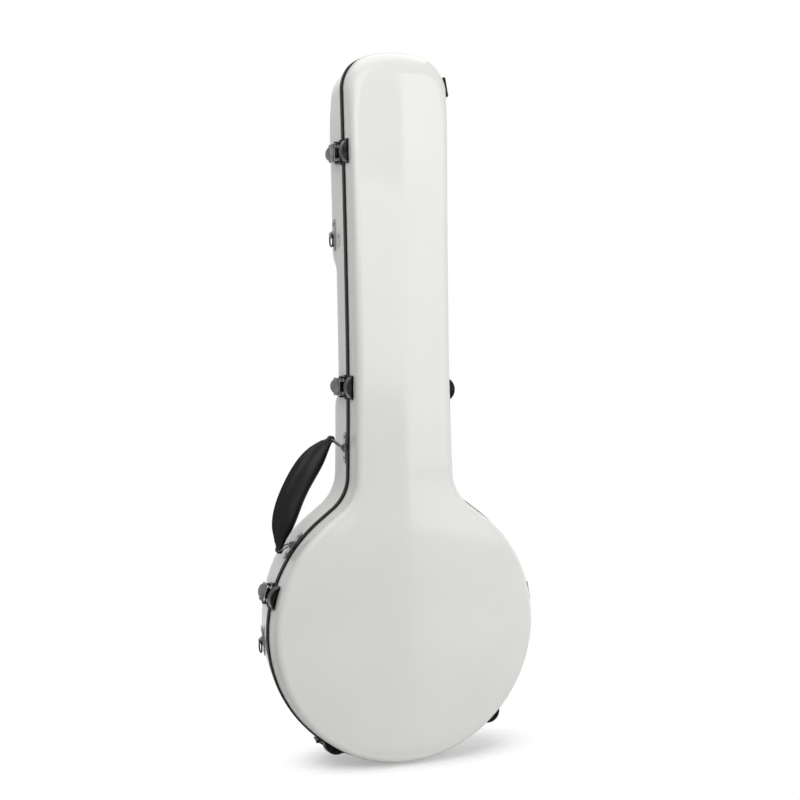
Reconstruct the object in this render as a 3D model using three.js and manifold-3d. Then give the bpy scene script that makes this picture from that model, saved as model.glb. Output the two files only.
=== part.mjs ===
import * as THREE from 'three';
import { mergeVertices } from 'three/addons/utils/BufferGeometryUtils.js';
import Module from 'manifold-3d';

// A moulded fibreglass case for a banjo, lying on its back with the head towards +Y
// and the lid on top. The origin is the centre of the round end on the flat back.
// Lengths are in millimetres.

const wasm = await Module();
wasm.setup();

// Outline of the case, seen from above the lid
const bodyRadius = 204;
const rootHalfWidth = 78.3;
const waistHalfWidth = 75;
const headHalfWidth = 77.2;
const waistY = 430;
const topY = 838;
const headCornerRadius = 53.2;
const shoulderRadius = 61.4;
const shoulderAngle = THREE.MathUtils.degToRad(52.5);
const headArchAngle = THREE.MathUtils.degToRad(12.4);
const headStartY = 725;

// Base shell: sides that lean more round the body and the head than along the neck,
// a large round into the flat back, and a neck that is less deep
const shellWall = 3;
const straightSide = 58;
const backRadius = 40;
const bodyDraftShare = 0.13;
const neckDraftShare = 0.005;
const headDraftShare = 0.137;
const bodyLeanEnd = 140;
const neckStep = 17;
const neckStepStart = 325;
const neckStepEnd = 552;
const neckStepRun = 27;

// Lid shell: drafted side, a round that grows towards the head, and a crowned front
const lidSide = 30;
const lidRadius = 11;
const lidHeadRadius = 28;
const lidDraftShare = 0.097;
const lidSetback = 0.6;
const bodyCrown = 9;
const neckCrown = 4;

// Rubber valance along the joint
const gasketHeight = 10;
const gasketLip = 1.6;
const gasketInside = 3.6;
const gasketBevel = 1.1;
const rimDrop = 3;

// Clearances
const fitGap = 0.3;
const pinGap = 0.4;
const cutOverrun = 1;
const weldDistance = 0.0001;

// Plush linings
const baseLiningThickness = 4.5;
const lidLiningThickness = 4;
const liningRimDrop = 4;

// Neck cradle and small compartment inside the base
const cradleY = 430;
const cradleLength = 40;
const cradleHeight = 84;
const cradleNotchTop = 64;
const cradleNotchBottom = 48;
const cradleNotchDepth = 36;
const compartmentY = 250;
const compartmentLength = 60;
const compartmentHeight = 50;
const partitionThickness = 8;
const partitionSide = 1;
const compartmentLidThickness = 3.5;
const compartmentLidHalfWidth = 60;
const compartmentLidLap = 1;
const tabWidth = 22;
const tabLength = 7;
const tabThickness = 1.5;

// Latch: base plate with two ears
const latchSheet = 1.3;
const latchPlateDrop = 7;
const latchPlateLength = 31;
const latchPlateWide = 37;
const latchPlateNarrow = 29.6;
const earInside = 13.2;
const earRadius = 3.6;
const earFootDrop = 33;
const pivotDrop = 13;
const pivotStand = 7;
const bossRadius = 1.7;
const bossLength = 1.7;

// Latch: lever with a half-round finger tab, and the bar that carries the hook
const leverSheet = 1.3;
const cheekSheet = 1.2;
const cheekRadius = 3.1;
const barDrop = 20;
const barStand = 4.5;
const barRadius = 1.2;
const barCheekRadius = 2.2;
const webDrop = 23.5;
const webStand = 10.9;
const webSwell = 0.4;
const tabDrop = 35;
const tabRadius = 10;
const tabFlare = 3.2;

// Latch: hook that reaches over the joint
const hookSheet = 1.1;
const hookHalfWidth = 7.5;
const hookStand = 2.6;
const hookRise = 10.4;
const hookClaw = 1.3;
const eyeWall = 0.95;

// Latch: domed keeper on the lid
const keeperSheet = 1.3;
const keeperRise = 1.2;
const keeperHeight = 12.8;
const keeperHalfWidth = 17.8;
const keeperDome = 10;
const keeperFlange = 1.9;
const lipRise = 2.2;
const lipHeight = 2;
const lipStand = 0.3;
const lipHalfWidth = 8.5;

// Where the latches sit: the left ones by height on the neck or by angle on the body
const upperLatchY = 695;
const middleLatchY = 355.5;
const rightLatchY = 348.3;
const bodyLatchAngle = THREE.MathUtils.degToRad(163.3);
const bottomLeftAngle = THREE.MathUtils.degToRad(236.1);
const bottomRightAngle = THREE.MathUtils.degToRad(-47.1);

// Hinges, both on the line that touches the body and the corner of the head
const hingeLength = 27;
const hingeSheet = 1.2;
const hingeStand = 4.4;
const knuckleRadius = 2.6;
const hingePinRadius = 1.1;
const hingePinHead = 0.8;
const baseLeafDrop = 20;
const lidLeafRise = 14.5;
const leafJog = 1.65;

// Obround plates with a raised loop, for the handle and for a shoulder strap
const plateLength = 46;
const plateWidth = 10;
const plateSheet = 1.6;
const loopWidth = 5;
const loopHalfLength = 8;
const loopRise = 8.2;
const loopSheet = 1.5;
const loopCrest = 2.2;

// Handle: two wire links and a padded grip
const wireRadius = 1.2;
const wireHalfWidth = 7.2;
const wireCorner = 2.4;
const wireStand = loopRise - loopSheet - wireRadius - fitGap;
const handleDrop = 14;
const upperPlateRise = 39.1;
const lowerPlateAngle = THREE.MathUtils.degToRad(141.4);
const upperLinkLength = 21.3;
const upperLinkAngle = THREE.MathUtils.degToRad(141.7);
const lowerLinkLength = 19.2;
const lowerLinkAngle = THREE.MathUtils.degToRad(205.9);
const gripBow = 15;
const gripHalfWidth = 15.8;
const gripHalfThickness = 12;
const rollRadius = 5;
const rollHalfLength = 4.7;
const openRollPlay = 1.2;
const gripWidthShares = [0.28, 0.4, 0.66, 0.84, 0.95, 1, 1, 0.98, 0.95, 0.84, 0.62, 0.38, 0.28];
const gripDepthShares = [0.34, 0.4, 0.62, 0.85, 0.97, 1, 1, 1, 0.97, 0.85, 0.62, 0.4, 0.34];

// Strap rings
const strapDrop = 53;
const upperStrapY = 578.6;
const lowerStrapAngle = THREE.MathUtils.degToRad(185.1);
const strapRingLength = 17;

// Steps of the round stretches
const bodySteps = 18;
const shoulderSteps = 4;
const cornerSteps = 5;
const roundSteps = 3;
const lidColumns = 6;
const lidInnerColumns = 2;
const smallRoundSteps = 10;
const arcSteps = 3;
const domeSteps = 6;
const gripSides = 14;
const wireSides = 6;
const wireCornerSteps = 3;

// Heights that follow from the sizes above
const seamZ = straightSide + backRadius;
const baseRimZ = seamZ - rimDrop;
const gasketBottomZ = seamZ - gasketHeight / 2;
const gasketTopZ = seamZ + gasketHeight / 2;
const lidRimZ = gasketTopZ + fitGap;
const lidEdgeZ = lidRimZ + lidSide;
const lidTilt = -Math.atan(lidDraftShare);

const finishes = {
  shell: { color: 0xe9e8e4, roughness: 0.18, metalness: 0 },
  rubber: { color: 0x17171a, roughness: 0.62, metalness: 0 },
  hardware: { color: 0x3a3a3c, roughness: 0.3, metalness: 1 },
  plate: { color: 0x77787a, roughness: 0.32, metalness: 1 },
  leather: { color: 0x141415, roughness: 0.5, metalness: 0 },
  plush: { color: 0x1d1e22, roughness: 0.95, metalness: 0 },
};

function piece(name, geometry, finish) {
  geometry.computeVertexNormals();
  const mesh = new THREE.Mesh(geometry, new THREE.MeshStandardMaterial(finishes[finish]));
  mesh.name = name;
  return mesh;
}

// Solids: joining and cutting

function toSolid(geometry) {
  const bare = geometry.index ? geometry.toNonIndexed() : geometry.clone();
  bare.deleteAttribute('normal');
  bare.deleteAttribute('uv');
  const merged = mergeVertices(bare, weldDistance);
  return new wasm.Manifold(new wasm.Mesh({
    numProp: 3,
    vertProperties: merged.attributes.position.array,
    triVerts: new Uint32Array(merged.index.array),
  }));
}

function toGeometry(solid) {
  const mesh = solid.getMesh();
  const geometry = new THREE.BufferGeometry();
  geometry.setAttribute('position', new THREE.BufferAttribute(new Float32Array(mesh.vertProperties), 3));
  geometry.setIndex(new THREE.BufferAttribute(new Uint32Array(mesh.triVerts), 1));
  return geometry;
}

const join = (...parts) => toGeometry(parts.map(toSolid).reduce((sum, part) => sum.add(part)));

const cut = (whole, ...tools) =>
  toGeometry(tools.map(toSolid).reduce((rest, tool) => rest.subtract(tool), toSolid(whole)));

const common = (a, b) => toGeometry(toSolid(a).intersect(toSolid(b)));

// A closed skin from points and triangles, turned so that its faces look outwards
function closedSkin(points, triangles) {
  let volume = 0;
  for (const [a, b, c] of triangles) {
    volume += new THREE.Vector3().crossVectors(points[a], points[b]).dot(points[c]);
  }
  const order = volume < 0 ? triangles.map(([a, b, c]) => [a, c, b]) : triangles;
  const geometry = new THREE.BufferGeometry().setFromPoints(points);
  geometry.setIndex(order.flat());
  return geometry;
}

// Outline of the case as stations from the bottom of the body to the top of the head.
// Each holds a point of the right side and the way that the side faces there.

function neckHalfWidthAt(y) {
  const rootY = shoulderCentre().y;
  const reach = y < waistY ? rootY - waistY : topY - headCornerRadius - waistY;
  const growth = (y < waistY ? rootHalfWidth : headHalfWidth) - waistHalfWidth;
  return waistHalfWidth + growth * ((y - waistY) / reach) ** 2;
}

function shoulderCentre() {
  const x = rootHalfWidth + shoulderRadius;
  const y = (bodyRadius + shoulderRadius - x * Math.cos(shoulderAngle)) / Math.sin(shoulderAngle);
  return new THREE.Vector2(x, y);
}

const station = (x, y, angle) => ({ x, y, nx: Math.cos(angle), ny: Math.sin(angle) });

function neckStation(y) {
  const step = weldDistance * bodyRadius;
  const slope = (neckHalfWidthAt(y + step) - neckHalfWidthAt(y - step)) / (step + step);
  return station(neckHalfWidthAt(y), y, -Math.atan(slope));
}

const bodyStation = (angle) => station(bodyRadius * Math.cos(angle), bodyRadius * Math.sin(angle), angle);

const spread = (from, to, steps) => Array.from({ length: steps + 1 }, (_, i) => from + (to - from) * i / steps);

// Centre of the head's corner, where it meets the flat arch of the head's end
function headCorner() {
  const x = headHalfWidth - headCornerRadius;
  const reach = x / Math.sin(headArchAngle);
  return { x, y: topY - headCornerRadius - reach * (1 - Math.cos(headArchAngle)) };
}

function halfOutline(neckHeights) {
  const arc = spread(-Math.PI / 2, shoulderAngle, bodySteps).map(bodyStation);
  const hollow = shoulderCentre();
  const shoulder = spread(shoulderAngle, 0, shoulderSteps).map((angle) =>
    station(hollow.x - shoulderRadius * Math.cos(angle), hollow.y - shoulderRadius * Math.sin(angle), angle));
  const neck = neckHeights.map(neckStation);
  const centre = headCorner();
  const corner = spread(0, Math.PI / 2 - headArchAngle, cornerSteps).map((angle) => station(
    centre.x + headCornerRadius * Math.cos(angle), centre.y + headCornerRadius * Math.sin(angle), angle));
  arc[0].x = 0;
  return [...arc, ...shoulder, ...neck, ...corner, station(0, topY, Math.PI / 2)];
}

const stepHeights = [
  ...spread(neckStepStart, neckStepStart + neckStepRun, roundSteps),
  ...spread(neckStepEnd - neckStepRun, neckStepEnd, roundSteps),
];
const neckMiddleY = (neckStepStart + neckStepEnd) / 2;
const headMiddleY = (headStartY + headCorner().y) / 2;
const neckHeights = [...stepHeights, neckMiddleY, headStartY, headMiddleY].sort((a, b) => a - b);
const caseHalf = halfOutline(neckHeights);

// Rings round the case. A rule gives a station's inset from the outline and its height.

function ringPoints(half, rule) {
  const right = half.map((s) => {
    const [inset, z] = rule(s);
    const onAxis = s === half[0] || s === half[half.length - 1];
    return new THREE.Vector3(onAxis ? 0 : s.x - s.nx * inset, s.y - s.ny * inset, z);
  });
  const left = right.slice(1, -1).reverse().map((p) => new THREE.Vector3(-p.x, p.y, p.z));
  return [...right, ...left];
}

function stitch(triangles, first, second, count) {
  for (let i = 0; i < count; i += 1) {
    const next = (i + 1) % count;
    triangles.push([first + i, first + next, second + next], [first + i, second + next, second + i]);
  }
}

// The same with the other diagonal, so that skins that lie on each other fold alike
function stitchBack(triangles, first, second, count) {
  for (let i = 0; i < count; i += 1) {
    const next = (i + 1) % count;
    triangles.push([first + i, first + next, second + i], [first + next, second + next, second + i]);
  }
}

// Closes a ring with rows from its left to its right side; bulge lifts the middle of a row.
function closeRing(points, triangles, start, half, columns, bulge, reversed) {
  const last = half.length - 1;
  const count = 2 * last;
  const rows = half.map((_, i) => {
    if (i === 0 || i === last) return Array(columns + 1).fill(start + i);
    const right = points[start + i];
    const row = [start + count - i];
    for (let column = 1; column < columns; column += 1) {
      const across = 2 * column / columns - 1;
      const lift = bulge(right.x) * (1 - across * across);
      row.push(points.push(new THREE.Vector3(right.x * across, right.y, right.z + lift)) - 1);
    }
    return [...row, start + i];
  });
  for (let i = 0; i < last; i += 1) {
    for (let column = 0; column < columns; column += 1) {
      const corners = [rows[i][column], rows[i][column + 1], rows[i + 1][column + 1], rows[i + 1][column]];
      const faces = [[corners[0], corners[1], corners[2]], [corners[0], corners[2], corners[3]]];
      for (const face of faces) {
        if (new Set(face).size === face.length) triangles.push(reversed ? face.reverse() : face);
      }
    }
  }
}

// A pan: its outer skin from the closed end to the rim, then its inner skin back again
function pan(half, outerRules, innerRules, outerColumns, innerColumns, bulge) {
  const rules = [...outerRules.reverse(), ...innerRules];
  const rings = rules.map((rule) => ringPoints(half, rule));
  const count = rings[0].length;
  const points = rings.flat();
  const triangles = [];
  for (let i = 0; i + 1 < rings.length; i += 1) {
    const weave = i < outerRules.length ? stitch : stitchBack;
    weave(triangles, i * count, (i + 1) * count, count);
  }
  closeRing(points, triangles, 0, half, outerColumns, bulge, true);
  closeRing(points, triangles, (rings.length - 1) * count, half, innerColumns, bulge, false);
  return closedSkin(points, triangles);
}

// A band with the same closed section all round the case
function band(half, rules) {
  const rings = rules.map((rule) => ringPoints(half, rule));
  const count = rings[0].length;
  const triangles = [];
  rings.forEach((_, i) => stitch(triangles, i * count, ((i + 1) % rings.length) * count, count));
  return closedSkin(rings.flat(), triangles);
}

// Height of the back: flat under the body and the head, raised between them
function backZ(y) {
  const rise = THREE.MathUtils.smoothstep(y, neckStepStart, neckStepStart + neckStepRun);
  const fall = THREE.MathUtils.smoothstep(y, neckStepEnd - neckStepRun, neckStepEnd);
  return neckStep * (rise - fall);
}

const quarterTurns = spread(0, Math.PI / 2, roundSteps);

// How far the base's side leans in for each millimetre below the joint
function baseLeanAt(y) {
  const neck = THREE.MathUtils.smoothstep(y, 0, bodyLeanEnd);
  const head = THREE.MathUtils.smoothstep(y, headStartY, topY);
  return bodyDraftShare + (neckDraftShare - bodyDraftShare) * neck + (headDraftShare - neckDraftShare) * head;
}

// Rules of a skin that lies a given depth inside the outer face of the base
function baseRules(depth, rimZ) {
  const sideInset = (s, z) => depth + baseLeanAt(s.y) * (seamZ - z);
  const rim = (s) => [sideInset(s, rimZ), rimZ];
  const radius = backRadius - depth;
  const round = quarterTurns.map((turn) => (s) => {
    const floor = backZ(s.y);
    const inset = sideInset(s, floor + backRadius) + radius * (1 - Math.cos(turn));
    return [inset, floor + depth + radius * (1 - Math.sin(turn))];
  });
  return [rim, ...round];
}

// Radius of the lid's round: small along the body and the neck, large at the head
function lidRadiusAt(y) {
  return lidRadius + (lidHeadRadius - lidRadius) * THREE.MathUtils.smoothstep(y, headStartY, topY);
}

// The same for the lid
function lidRules(depth, rimZ) {
  const sideInset = (z) => depth + lidSetback + lidDraftShare * (z - lidRimZ);
  const rim = () => [sideInset(rimZ), rimZ];
  const round = quarterTurns.map((turn) => (s) => {
    const roundZ = lidEdgeZ - lidRadiusAt(s.y);
    const radius = lidRadiusAt(s.y) - depth;
    return [sideInset(roundZ) + radius * (1 - Math.cos(turn)), roundZ + radius * Math.sin(turn)];
  });
  return [rim, ...round];
}

// Height of the lid's crown in the middle of a row, from the row's half width
function crown(halfWidth) {
  if (halfWidth < waistHalfWidth) return neckCrown * (halfWidth / waistHalfWidth) ** 2;
  return neckCrown + (bodyCrown - neckCrown) * (halfWidth - waistHalfWidth) / (bodyRadius - waistHalfWidth);
}

const noBulge = () => 0;

// Profiles drawn in the frame of a wall: X out of the wall, Y along the joint, Z towards the lid

const alongSeam = (shape, from, to, steps) =>
  new THREE.ExtrudeGeometry(shape, { depth: to - from, bevelEnabled: false, curveSegments: steps })
    .rotateX(Math.PI / 2).translate(0, to, 0);

const upWall = (shape, from, to, steps) =>
  new THREE.ExtrudeGeometry(shape, { depth: to - from, bevelEnabled: false, curveSegments: steps })
    .translate(0, 0, from);

function outOfWall(shape, from, to, steps) {
  const turn = new THREE.Matrix4().makeBasis(
    new THREE.Vector3(0, 1, 0), new THREE.Vector3(0, 0, 1), new THREE.Vector3(1, 0, 0));
  return new THREE.ExtrudeGeometry(shape, { depth: to - from, bevelEnabled: false, curveSegments: steps })
    .applyMatrix4(turn).translate(from, 0, 0);
}

const polygon = (points) => new THREE.Shape(points.map(([x, y]) => new THREE.Vector2(x, y)));

// A round bar along the joint
const barAlong = (radius, halfLength, x, z) =>
  new THREE.CylinderGeometry(radius, radius, 2 * halfLength, smallRoundSteps).translate(x, 0, z);

// A place on the side of the case
function sidePlace(s, side) {
  const x = side * s.x;
  return { x, y: s.y, yaw: Math.atan2(s.ny, side * s.nx) };
}

// A place on the hollow side of the neck, moved out until a flat piece rests there on both its ends
function neckPlace(y, side, halfLength) {
  const s = neckStation(y);
  const ends = [neckStation(y - halfLength), neckStation(y + halfLength)];
  const out = Math.max(0, ...ends.map((end) => (end.x - s.x) * s.nx + (end.y - s.y) * s.ny));
  return sidePlace({ ...s, x: s.x + out * s.nx, y: s.y + out * s.ny }, side);
}

function wallGroup(place, z, tilt) {
  const outer = new THREE.Group();
  outer.position.set(place.x, place.y, z);
  outer.rotation.set(0, tilt, place.yaw, 'ZYX');
  return outer;
}

const baseWall = (place) => wallGroup(place, seamZ, Math.atan(baseLeanAt(place.y)));

function lidWall(place) {
  const moved = {
    x: place.x - lidSetback * Math.cos(place.yaw),
    y: place.y - lidSetback * Math.sin(place.yaw),
    yaw: place.yaw,
  };
  return wallGroup(moved, lidRimZ, lidTilt);
}

// Shells, valance and linings

const baseShell = piece('base_shell',
  pan(caseHalf, baseRules(0, baseRimZ), baseRules(shellWall, baseRimZ), 1, 1, noBulge), 'shell');

const lidShell = piece('lid_shell', pan(caseHalf,
  lidRules(0, lidRimZ), lidRules(shellWall, lidRimZ), lidColumns, lidInnerColumns, crown), 'shell');

const gasket = piece('gasket', band(caseHalf, [
  () => [-gasketLip, gasketBottomZ],
  () => [-gasketLip, gasketTopZ - gasketBevel],
  () => [gasketBevel - gasketLip, gasketTopZ],
  () => [gasketInside, gasketTopZ],
  () => [gasketInside, baseRimZ + fitGap],
  () => [-fitGap, baseRimZ + fitGap],
  () => [-fitGap, gasketBottomZ],
]), 'rubber');

const baseLiningDepth = shellWall + fitGap;
const lidLiningDepth = shellWall + fitGap;
const baseFloor = baseLiningDepth + baseLiningThickness;
const liningRimZ = baseRimZ - liningRimDrop;

const baseLining = piece('base_lining', pan(caseHalf,
  baseRules(baseLiningDepth, liningRimZ), baseRules(baseFloor, liningRimZ), 1, 1, noBulge), 'plush');

const lidLiningRimZ = lidRimZ + liningRimDrop;
const lidLining = piece('lid_lining', pan(caseHalf,
  lidRules(lidLiningDepth, lidLiningRimZ), lidRules(lidLiningDepth + lidLiningThickness, lidLiningRimZ),
  lidInnerColumns, lidInnerColumns, crown), 'plush');

// Cross section of the lined neck channel up to the joint, as seen along the neck
function channelShape(y, side) {
  const floor = backZ(y) + baseFloor + fitGap;
  const half = neckHalfWidthAt(y) - baseFloor - fitGap - side - baseLeanAt(y) * straightSide;
  const radius = backRadius - baseFloor - fitGap;
  const shape = new THREE.Shape();
  shape.moveTo(half, seamZ);
  shape.lineTo(-half, seamZ);
  shape.lineTo(-half, floor + radius);
  shape.absarc(radius - half, floor + radius, radius, Math.PI, 3 * Math.PI / 2, false);
  shape.lineTo(half - radius, floor);
  shape.absarc(half - radius, floor + radius, radius, -Math.PI / 2, 0, false);
  return shape;
}

// A slab across the neck channel
const acrossNeck = (shape, from, to) =>
  new THREE.ExtrudeGeometry(shape, { depth: to - from, bevelEnabled: false, curveSegments: roundSteps / 2 })
    .rotateX(Math.PI / 2).translate(0, to, 0);

// The same slab, filling the channel up to a height
function channelSlab(from, to, top) {
  const length = to - from;
  const below = new THREE.BoxGeometry(2 * bodyRadius, 2 * length, top).translate(0, from, top / 2);
  return common(acrossNeck(channelShape(from, partitionSide), from, to), below);
}

const notch = polygon([
  [-cradleNotchTop / 2, cradleHeight + cutOverrun],
  [-cradleNotchTop / 2, cradleHeight],
  [-cradleNotchBottom / 2, cradleHeight - cradleNotchDepth],
  [cradleNotchBottom / 2, cradleHeight - cradleNotchDepth],
  [cradleNotchTop / 2, cradleHeight],
  [cradleNotchTop / 2, cradleHeight + cutOverrun],
]);
const cradleEnd = cradleY + cradleLength;
const neckCradle = piece('neck_cradle', cut(
  channelSlab(cradleY, cradleEnd, cradleHeight),
  acrossNeck(notch, cradleY - cutOverrun, cradleEnd + cutOverrun)), 'plush');

const compartmentEnd = compartmentY + compartmentLength;
const partition = (name, from) => piece(name,
  channelSlab(from, from + partitionThickness, compartmentHeight), 'plush');
const bodyPartition = partition('compartment_body_wall', compartmentY);
const headPartition = partition('compartment_head_wall', compartmentEnd - partitionThickness);

// Padded lid of the compartment, with a pull tab on its free edge
const compartmentLidZ = compartmentHeight + fitGap;
const compartmentHingeY = compartmentEnd - compartmentLidLap;
const panelLength = compartmentHingeY - compartmentY;
const panel = new THREE.BoxGeometry(2 * compartmentLidHalfWidth, panelLength, compartmentLidThickness)
  .translate(0, compartmentY + panelLength / 2, compartmentLidZ + compartmentLidThickness / 2);
const pullTab = new THREE.BoxGeometry(tabWidth, 2 * tabLength, tabThickness)
  .translate(0, compartmentY, compartmentLidZ + compartmentLidThickness / 2);
const compartmentLid = piece('compartment_lid', join(panel, pullTab), 'plush');

// Latch parts in the frame of the wall

function latchBaseGeometry() {
  const bottom = latchPlateDrop + latchPlateLength;
  const plate = outOfWall(polygon([
    [-latchPlateWide / 2, -latchPlateDrop],
    [-latchPlateNarrow / 2, -bottom],
    [latchPlateNarrow / 2, -bottom],
    [latchPlateWide / 2, -latchPlateDrop],
  ]), fitGap, fitGap + latchSheet, 1);
  const ear = new THREE.Shape();
  const foot = fitGap + latchSheet / 2;
  ear.moveTo(foot, earRadius - pivotDrop);
  ear.lineTo(foot, -earFootDrop);
  ear.lineTo(foot + latchSheet, -earFootDrop);
  ear.absarc(pivotStand, -pivotDrop, earRadius, -Math.PI / 3, Math.PI / 2, false);
  const boss = (side) => barAlong(bossRadius, (bossLength + latchSheet) / 2, pivotStand, -pivotDrop)
    .translate(0, side * (earInside - bossLength / 2 + latchSheet / 2), 0);
  return join(plate,
    alongSeam(ear, earInside, earInside + latchSheet, arcSteps),
    alongSeam(ear, -earInside - latchSheet, -earInside, arcSteps),
    boss(1), boss(-1));
}

function latchLeverGeometry() {
  const cheekOutside = earInside - fitGap;
  const tabStand = webStand - webSwell;
  const tabEnd = tabDrop + tabRadius;
  const sheet = alongSeam(polygon([
    [webStand - leverSheet, -webDrop],
    [webStand + webSwell - leverSheet, -(webDrop + tabDrop) / 2],
    [tabStand - leverSheet, -tabDrop],
    [tabStand + tabFlare - leverSheet, -tabEnd],
    [tabStand + tabFlare, -tabEnd],
    [tabStand, -tabDrop],
    [webStand + webSwell, -(webDrop + tabDrop) / 2],
    [webStand, -webDrop],
  ]), -cheekOutside, cheekOutside, 1);
  const face = new THREE.Shape();
  face.moveTo(cheekOutside, cutOverrun - webDrop);
  face.lineTo(-cheekOutside, cutOverrun - webDrop);
  face.lineTo(-cheekOutside, -webDrop);
  face.lineTo(-tabRadius, -tabDrop);
  face.absarc(0, -tabDrop, tabRadius, -Math.PI, 0, false);
  face.lineTo(cheekOutside, -webDrop);
  const web = common(sheet, outOfWall(face, 0, webStand + tabFlare + cutOverrun, arcSteps));
  const cheek = new THREE.Shape();
  const webMiddle = (webDrop + tabDrop) / 2;
  cheek.moveTo(barStand - barCheekRadius, -barDrop);
  cheek.absarc(barStand, -barDrop, barCheekRadius, Math.PI, 7 * Math.PI / 4, false);
  cheek.lineTo(webStand - leverSheet / 2, -webMiddle);
  cheek.lineTo(webStand, -webDrop);
  cheek.absarc(pivotStand, -pivotDrop, cheekRadius, 0, Math.PI, false);
  const bar = barAlong(barRadius, cheekOutside - cheekSheet / 2, barStand, -barDrop);
  const hole = barAlong(bossRadius + pinGap, earInside, pivotStand, -pivotDrop);
  return cut(join(web,
    alongSeam(cheek, cheekOutside - cheekSheet, cheekOutside, arcSteps),
    alongSeam(cheek, -cheekOutside, cheekSheet - cheekOutside, arcSteps),
    bar), hole);
}

function latchHookGeometry() {
  const bore = barRadius + pinGap;
  const eye = bore + eyeWall;
  const outer = new THREE.Shape();
  const inFace = hookStand;
  const outFace = hookStand + hookSheet;
  const eyeRise = Math.sqrt(eye * eye - (barStand - outFace) ** 2);
  outer.moveTo(inFace, -barDrop);
  outer.absarc(barStand, -barDrop, eye, Math.PI, 2 * Math.PI + Math.atan2(eyeRise, outFace - barStand), false);
  outer.lineTo(outFace, hookRise);
  outer.lineTo(inFace - hookClaw, hookRise);
  outer.lineTo(inFace - hookClaw, hookRise - hookSheet);
  outer.lineTo(inFace, hookRise - hookSheet);
  const hole = new THREE.Path();
  hole.absarc(barStand, -barDrop, bore, 0, 2 * Math.PI, true);
  outer.holes.push(hole);
  return alongSeam(outer, -hookHalfWidth, hookHalfWidth, arcSteps);
}

// Segment of a circle that bulges out of the wall from a chord
function domeShape(halfWidth, rise, stand) {
  const radius = (halfWidth * halfWidth + rise * rise) / (2 * rise);
  const half = Math.asin(halfWidth / radius);
  const shape = new THREE.Shape();
  shape.absarc(stand + rise - radius, 0, radius, -half, half, false);
  return shape;
}

function latchKeeperGeometry() {
  const top = keeperRise + keeperHeight;
  const flange = keeperHalfWidth + keeperFlange;
  const back = outOfWall(polygon([
    [-flange, keeperRise], [flange, keeperRise], [flange, top], [-flange, top],
  ]), fitGap, fitGap + keeperSheet, 1);
  const dome = upWall(domeShape(keeperHalfWidth, keeperDome, fitGap), keeperRise, top, domeSteps);
  const hollow = upWall(domeShape(keeperHalfWidth - keeperSheet, keeperDome - keeperSheet, fitGap),
    keeperRise - cutOverrun, top - keeperSheet, domeSteps);
  const lip = new THREE.BoxGeometry(keeperSheet + lipStand, 2 * lipHalfWidth, lipHeight)
    .translate(fitGap + (keeperSheet + lipStand) / 2, 0, lipRise + lipHeight / 2);
  return join(cut(dome, hollow), back, lip);
}

const latchPlaces = {
  upper_left: neckPlace(upperLatchY, -1, latchPlateWide / 2),
  middle_left: neckPlace(middleLatchY, -1, latchPlateWide / 2),
  middle_right: neckPlace(rightLatchY, 1, latchPlateWide / 2),
  body_left: sidePlace(bodyStation(bodyLatchAngle), 1),
  bottom_left: sidePlace(bodyStation(bottomLeftAngle), 1),
  bottom_right: sidePlace(bodyStation(bottomRightAngle), 1),
};

function latch(name, place) {
  const onBase = baseWall(place);
  onBase.add(piece(`latch_${name}_base`, latchBaseGeometry(), 'hardware'));
  onBase.add(piece(`latch_${name}_lever`, latchLeverGeometry(), 'hardware'));
  onBase.add(piece(`latch_${name}_hook`, latchHookGeometry(), 'hardware'));
  const onLid = lidWall(place);
  onLid.add(piece(`latch_${name}_keeper`, latchKeeperGeometry(), 'hardware'));
  return [onBase, onLid];
}

// Hinges. Their common line touches the body and the corner of the head.

function hingeLine() {
  const corner = headCorner();
  const between = Math.hypot(corner.x, corner.y);
  const yaw = Math.atan2(corner.y, corner.x) - Math.acos((bodyRadius - headCornerRadius) / between);
  const touch = (x, y, radius) => ({ x: x + radius * Math.cos(yaw), y: y + radius * Math.sin(yaw), yaw });
  return { body: touch(0, 0, bodyRadius), head: touch(corner.x, corner.y, headCornerRadius) };
}

const hingeRise = lidRimZ - seamZ;
const knuckleLength = hingeLength / 3;
const knuckleBore = hingePinRadius + fitGap;

// Frames that a knuckle run keeps: the middle third, or both outer thirds
function middleThird(extra) {
  const half = knuckleLength / 2 + extra;
  return new THREE.BoxGeometry(4 * knuckleRadius, 2 * half, 4 * knuckleRadius)
    .translate(hingeStand + knuckleRadius / 2, 0, hingeRise);
}

function hingeBaseLeafGeometry(y) {
  const lean = (drop) => fitGap - baseLeanAt(y) * drop;
  const outside = gasketLip + fitGap;
  const jogTop = gasketHeight / 2;
  const jogEnd = jogTop + leafJog;
  const leaf = alongSeam(polygon([
    [outside, hingeRise],
    [outside, -jogTop],
    [lean(jogEnd), -jogEnd],
    [lean(baseLeafDrop), -baseLeafDrop],
    [lean(baseLeafDrop) + hingeSheet, -baseLeafDrop],
    [lean(jogEnd) + hingeSheet, -jogEnd - hingeSheet / 2],
    [outside + hingeSheet, -jogTop - hingeSheet / 2],
    [outside + hingeSheet, hingeRise],
  ]), -hingeLength / 2, hingeLength / 2, 1);
  const knuckles = barAlong(knuckleRadius, hingeLength / 2, hingeStand, hingeRise);
  const bore = barAlong(knuckleBore, hingeLength, hingeStand, hingeRise);
  return cut(join(leaf, knuckles), bore, middleThird(fitGap));
}

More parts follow.
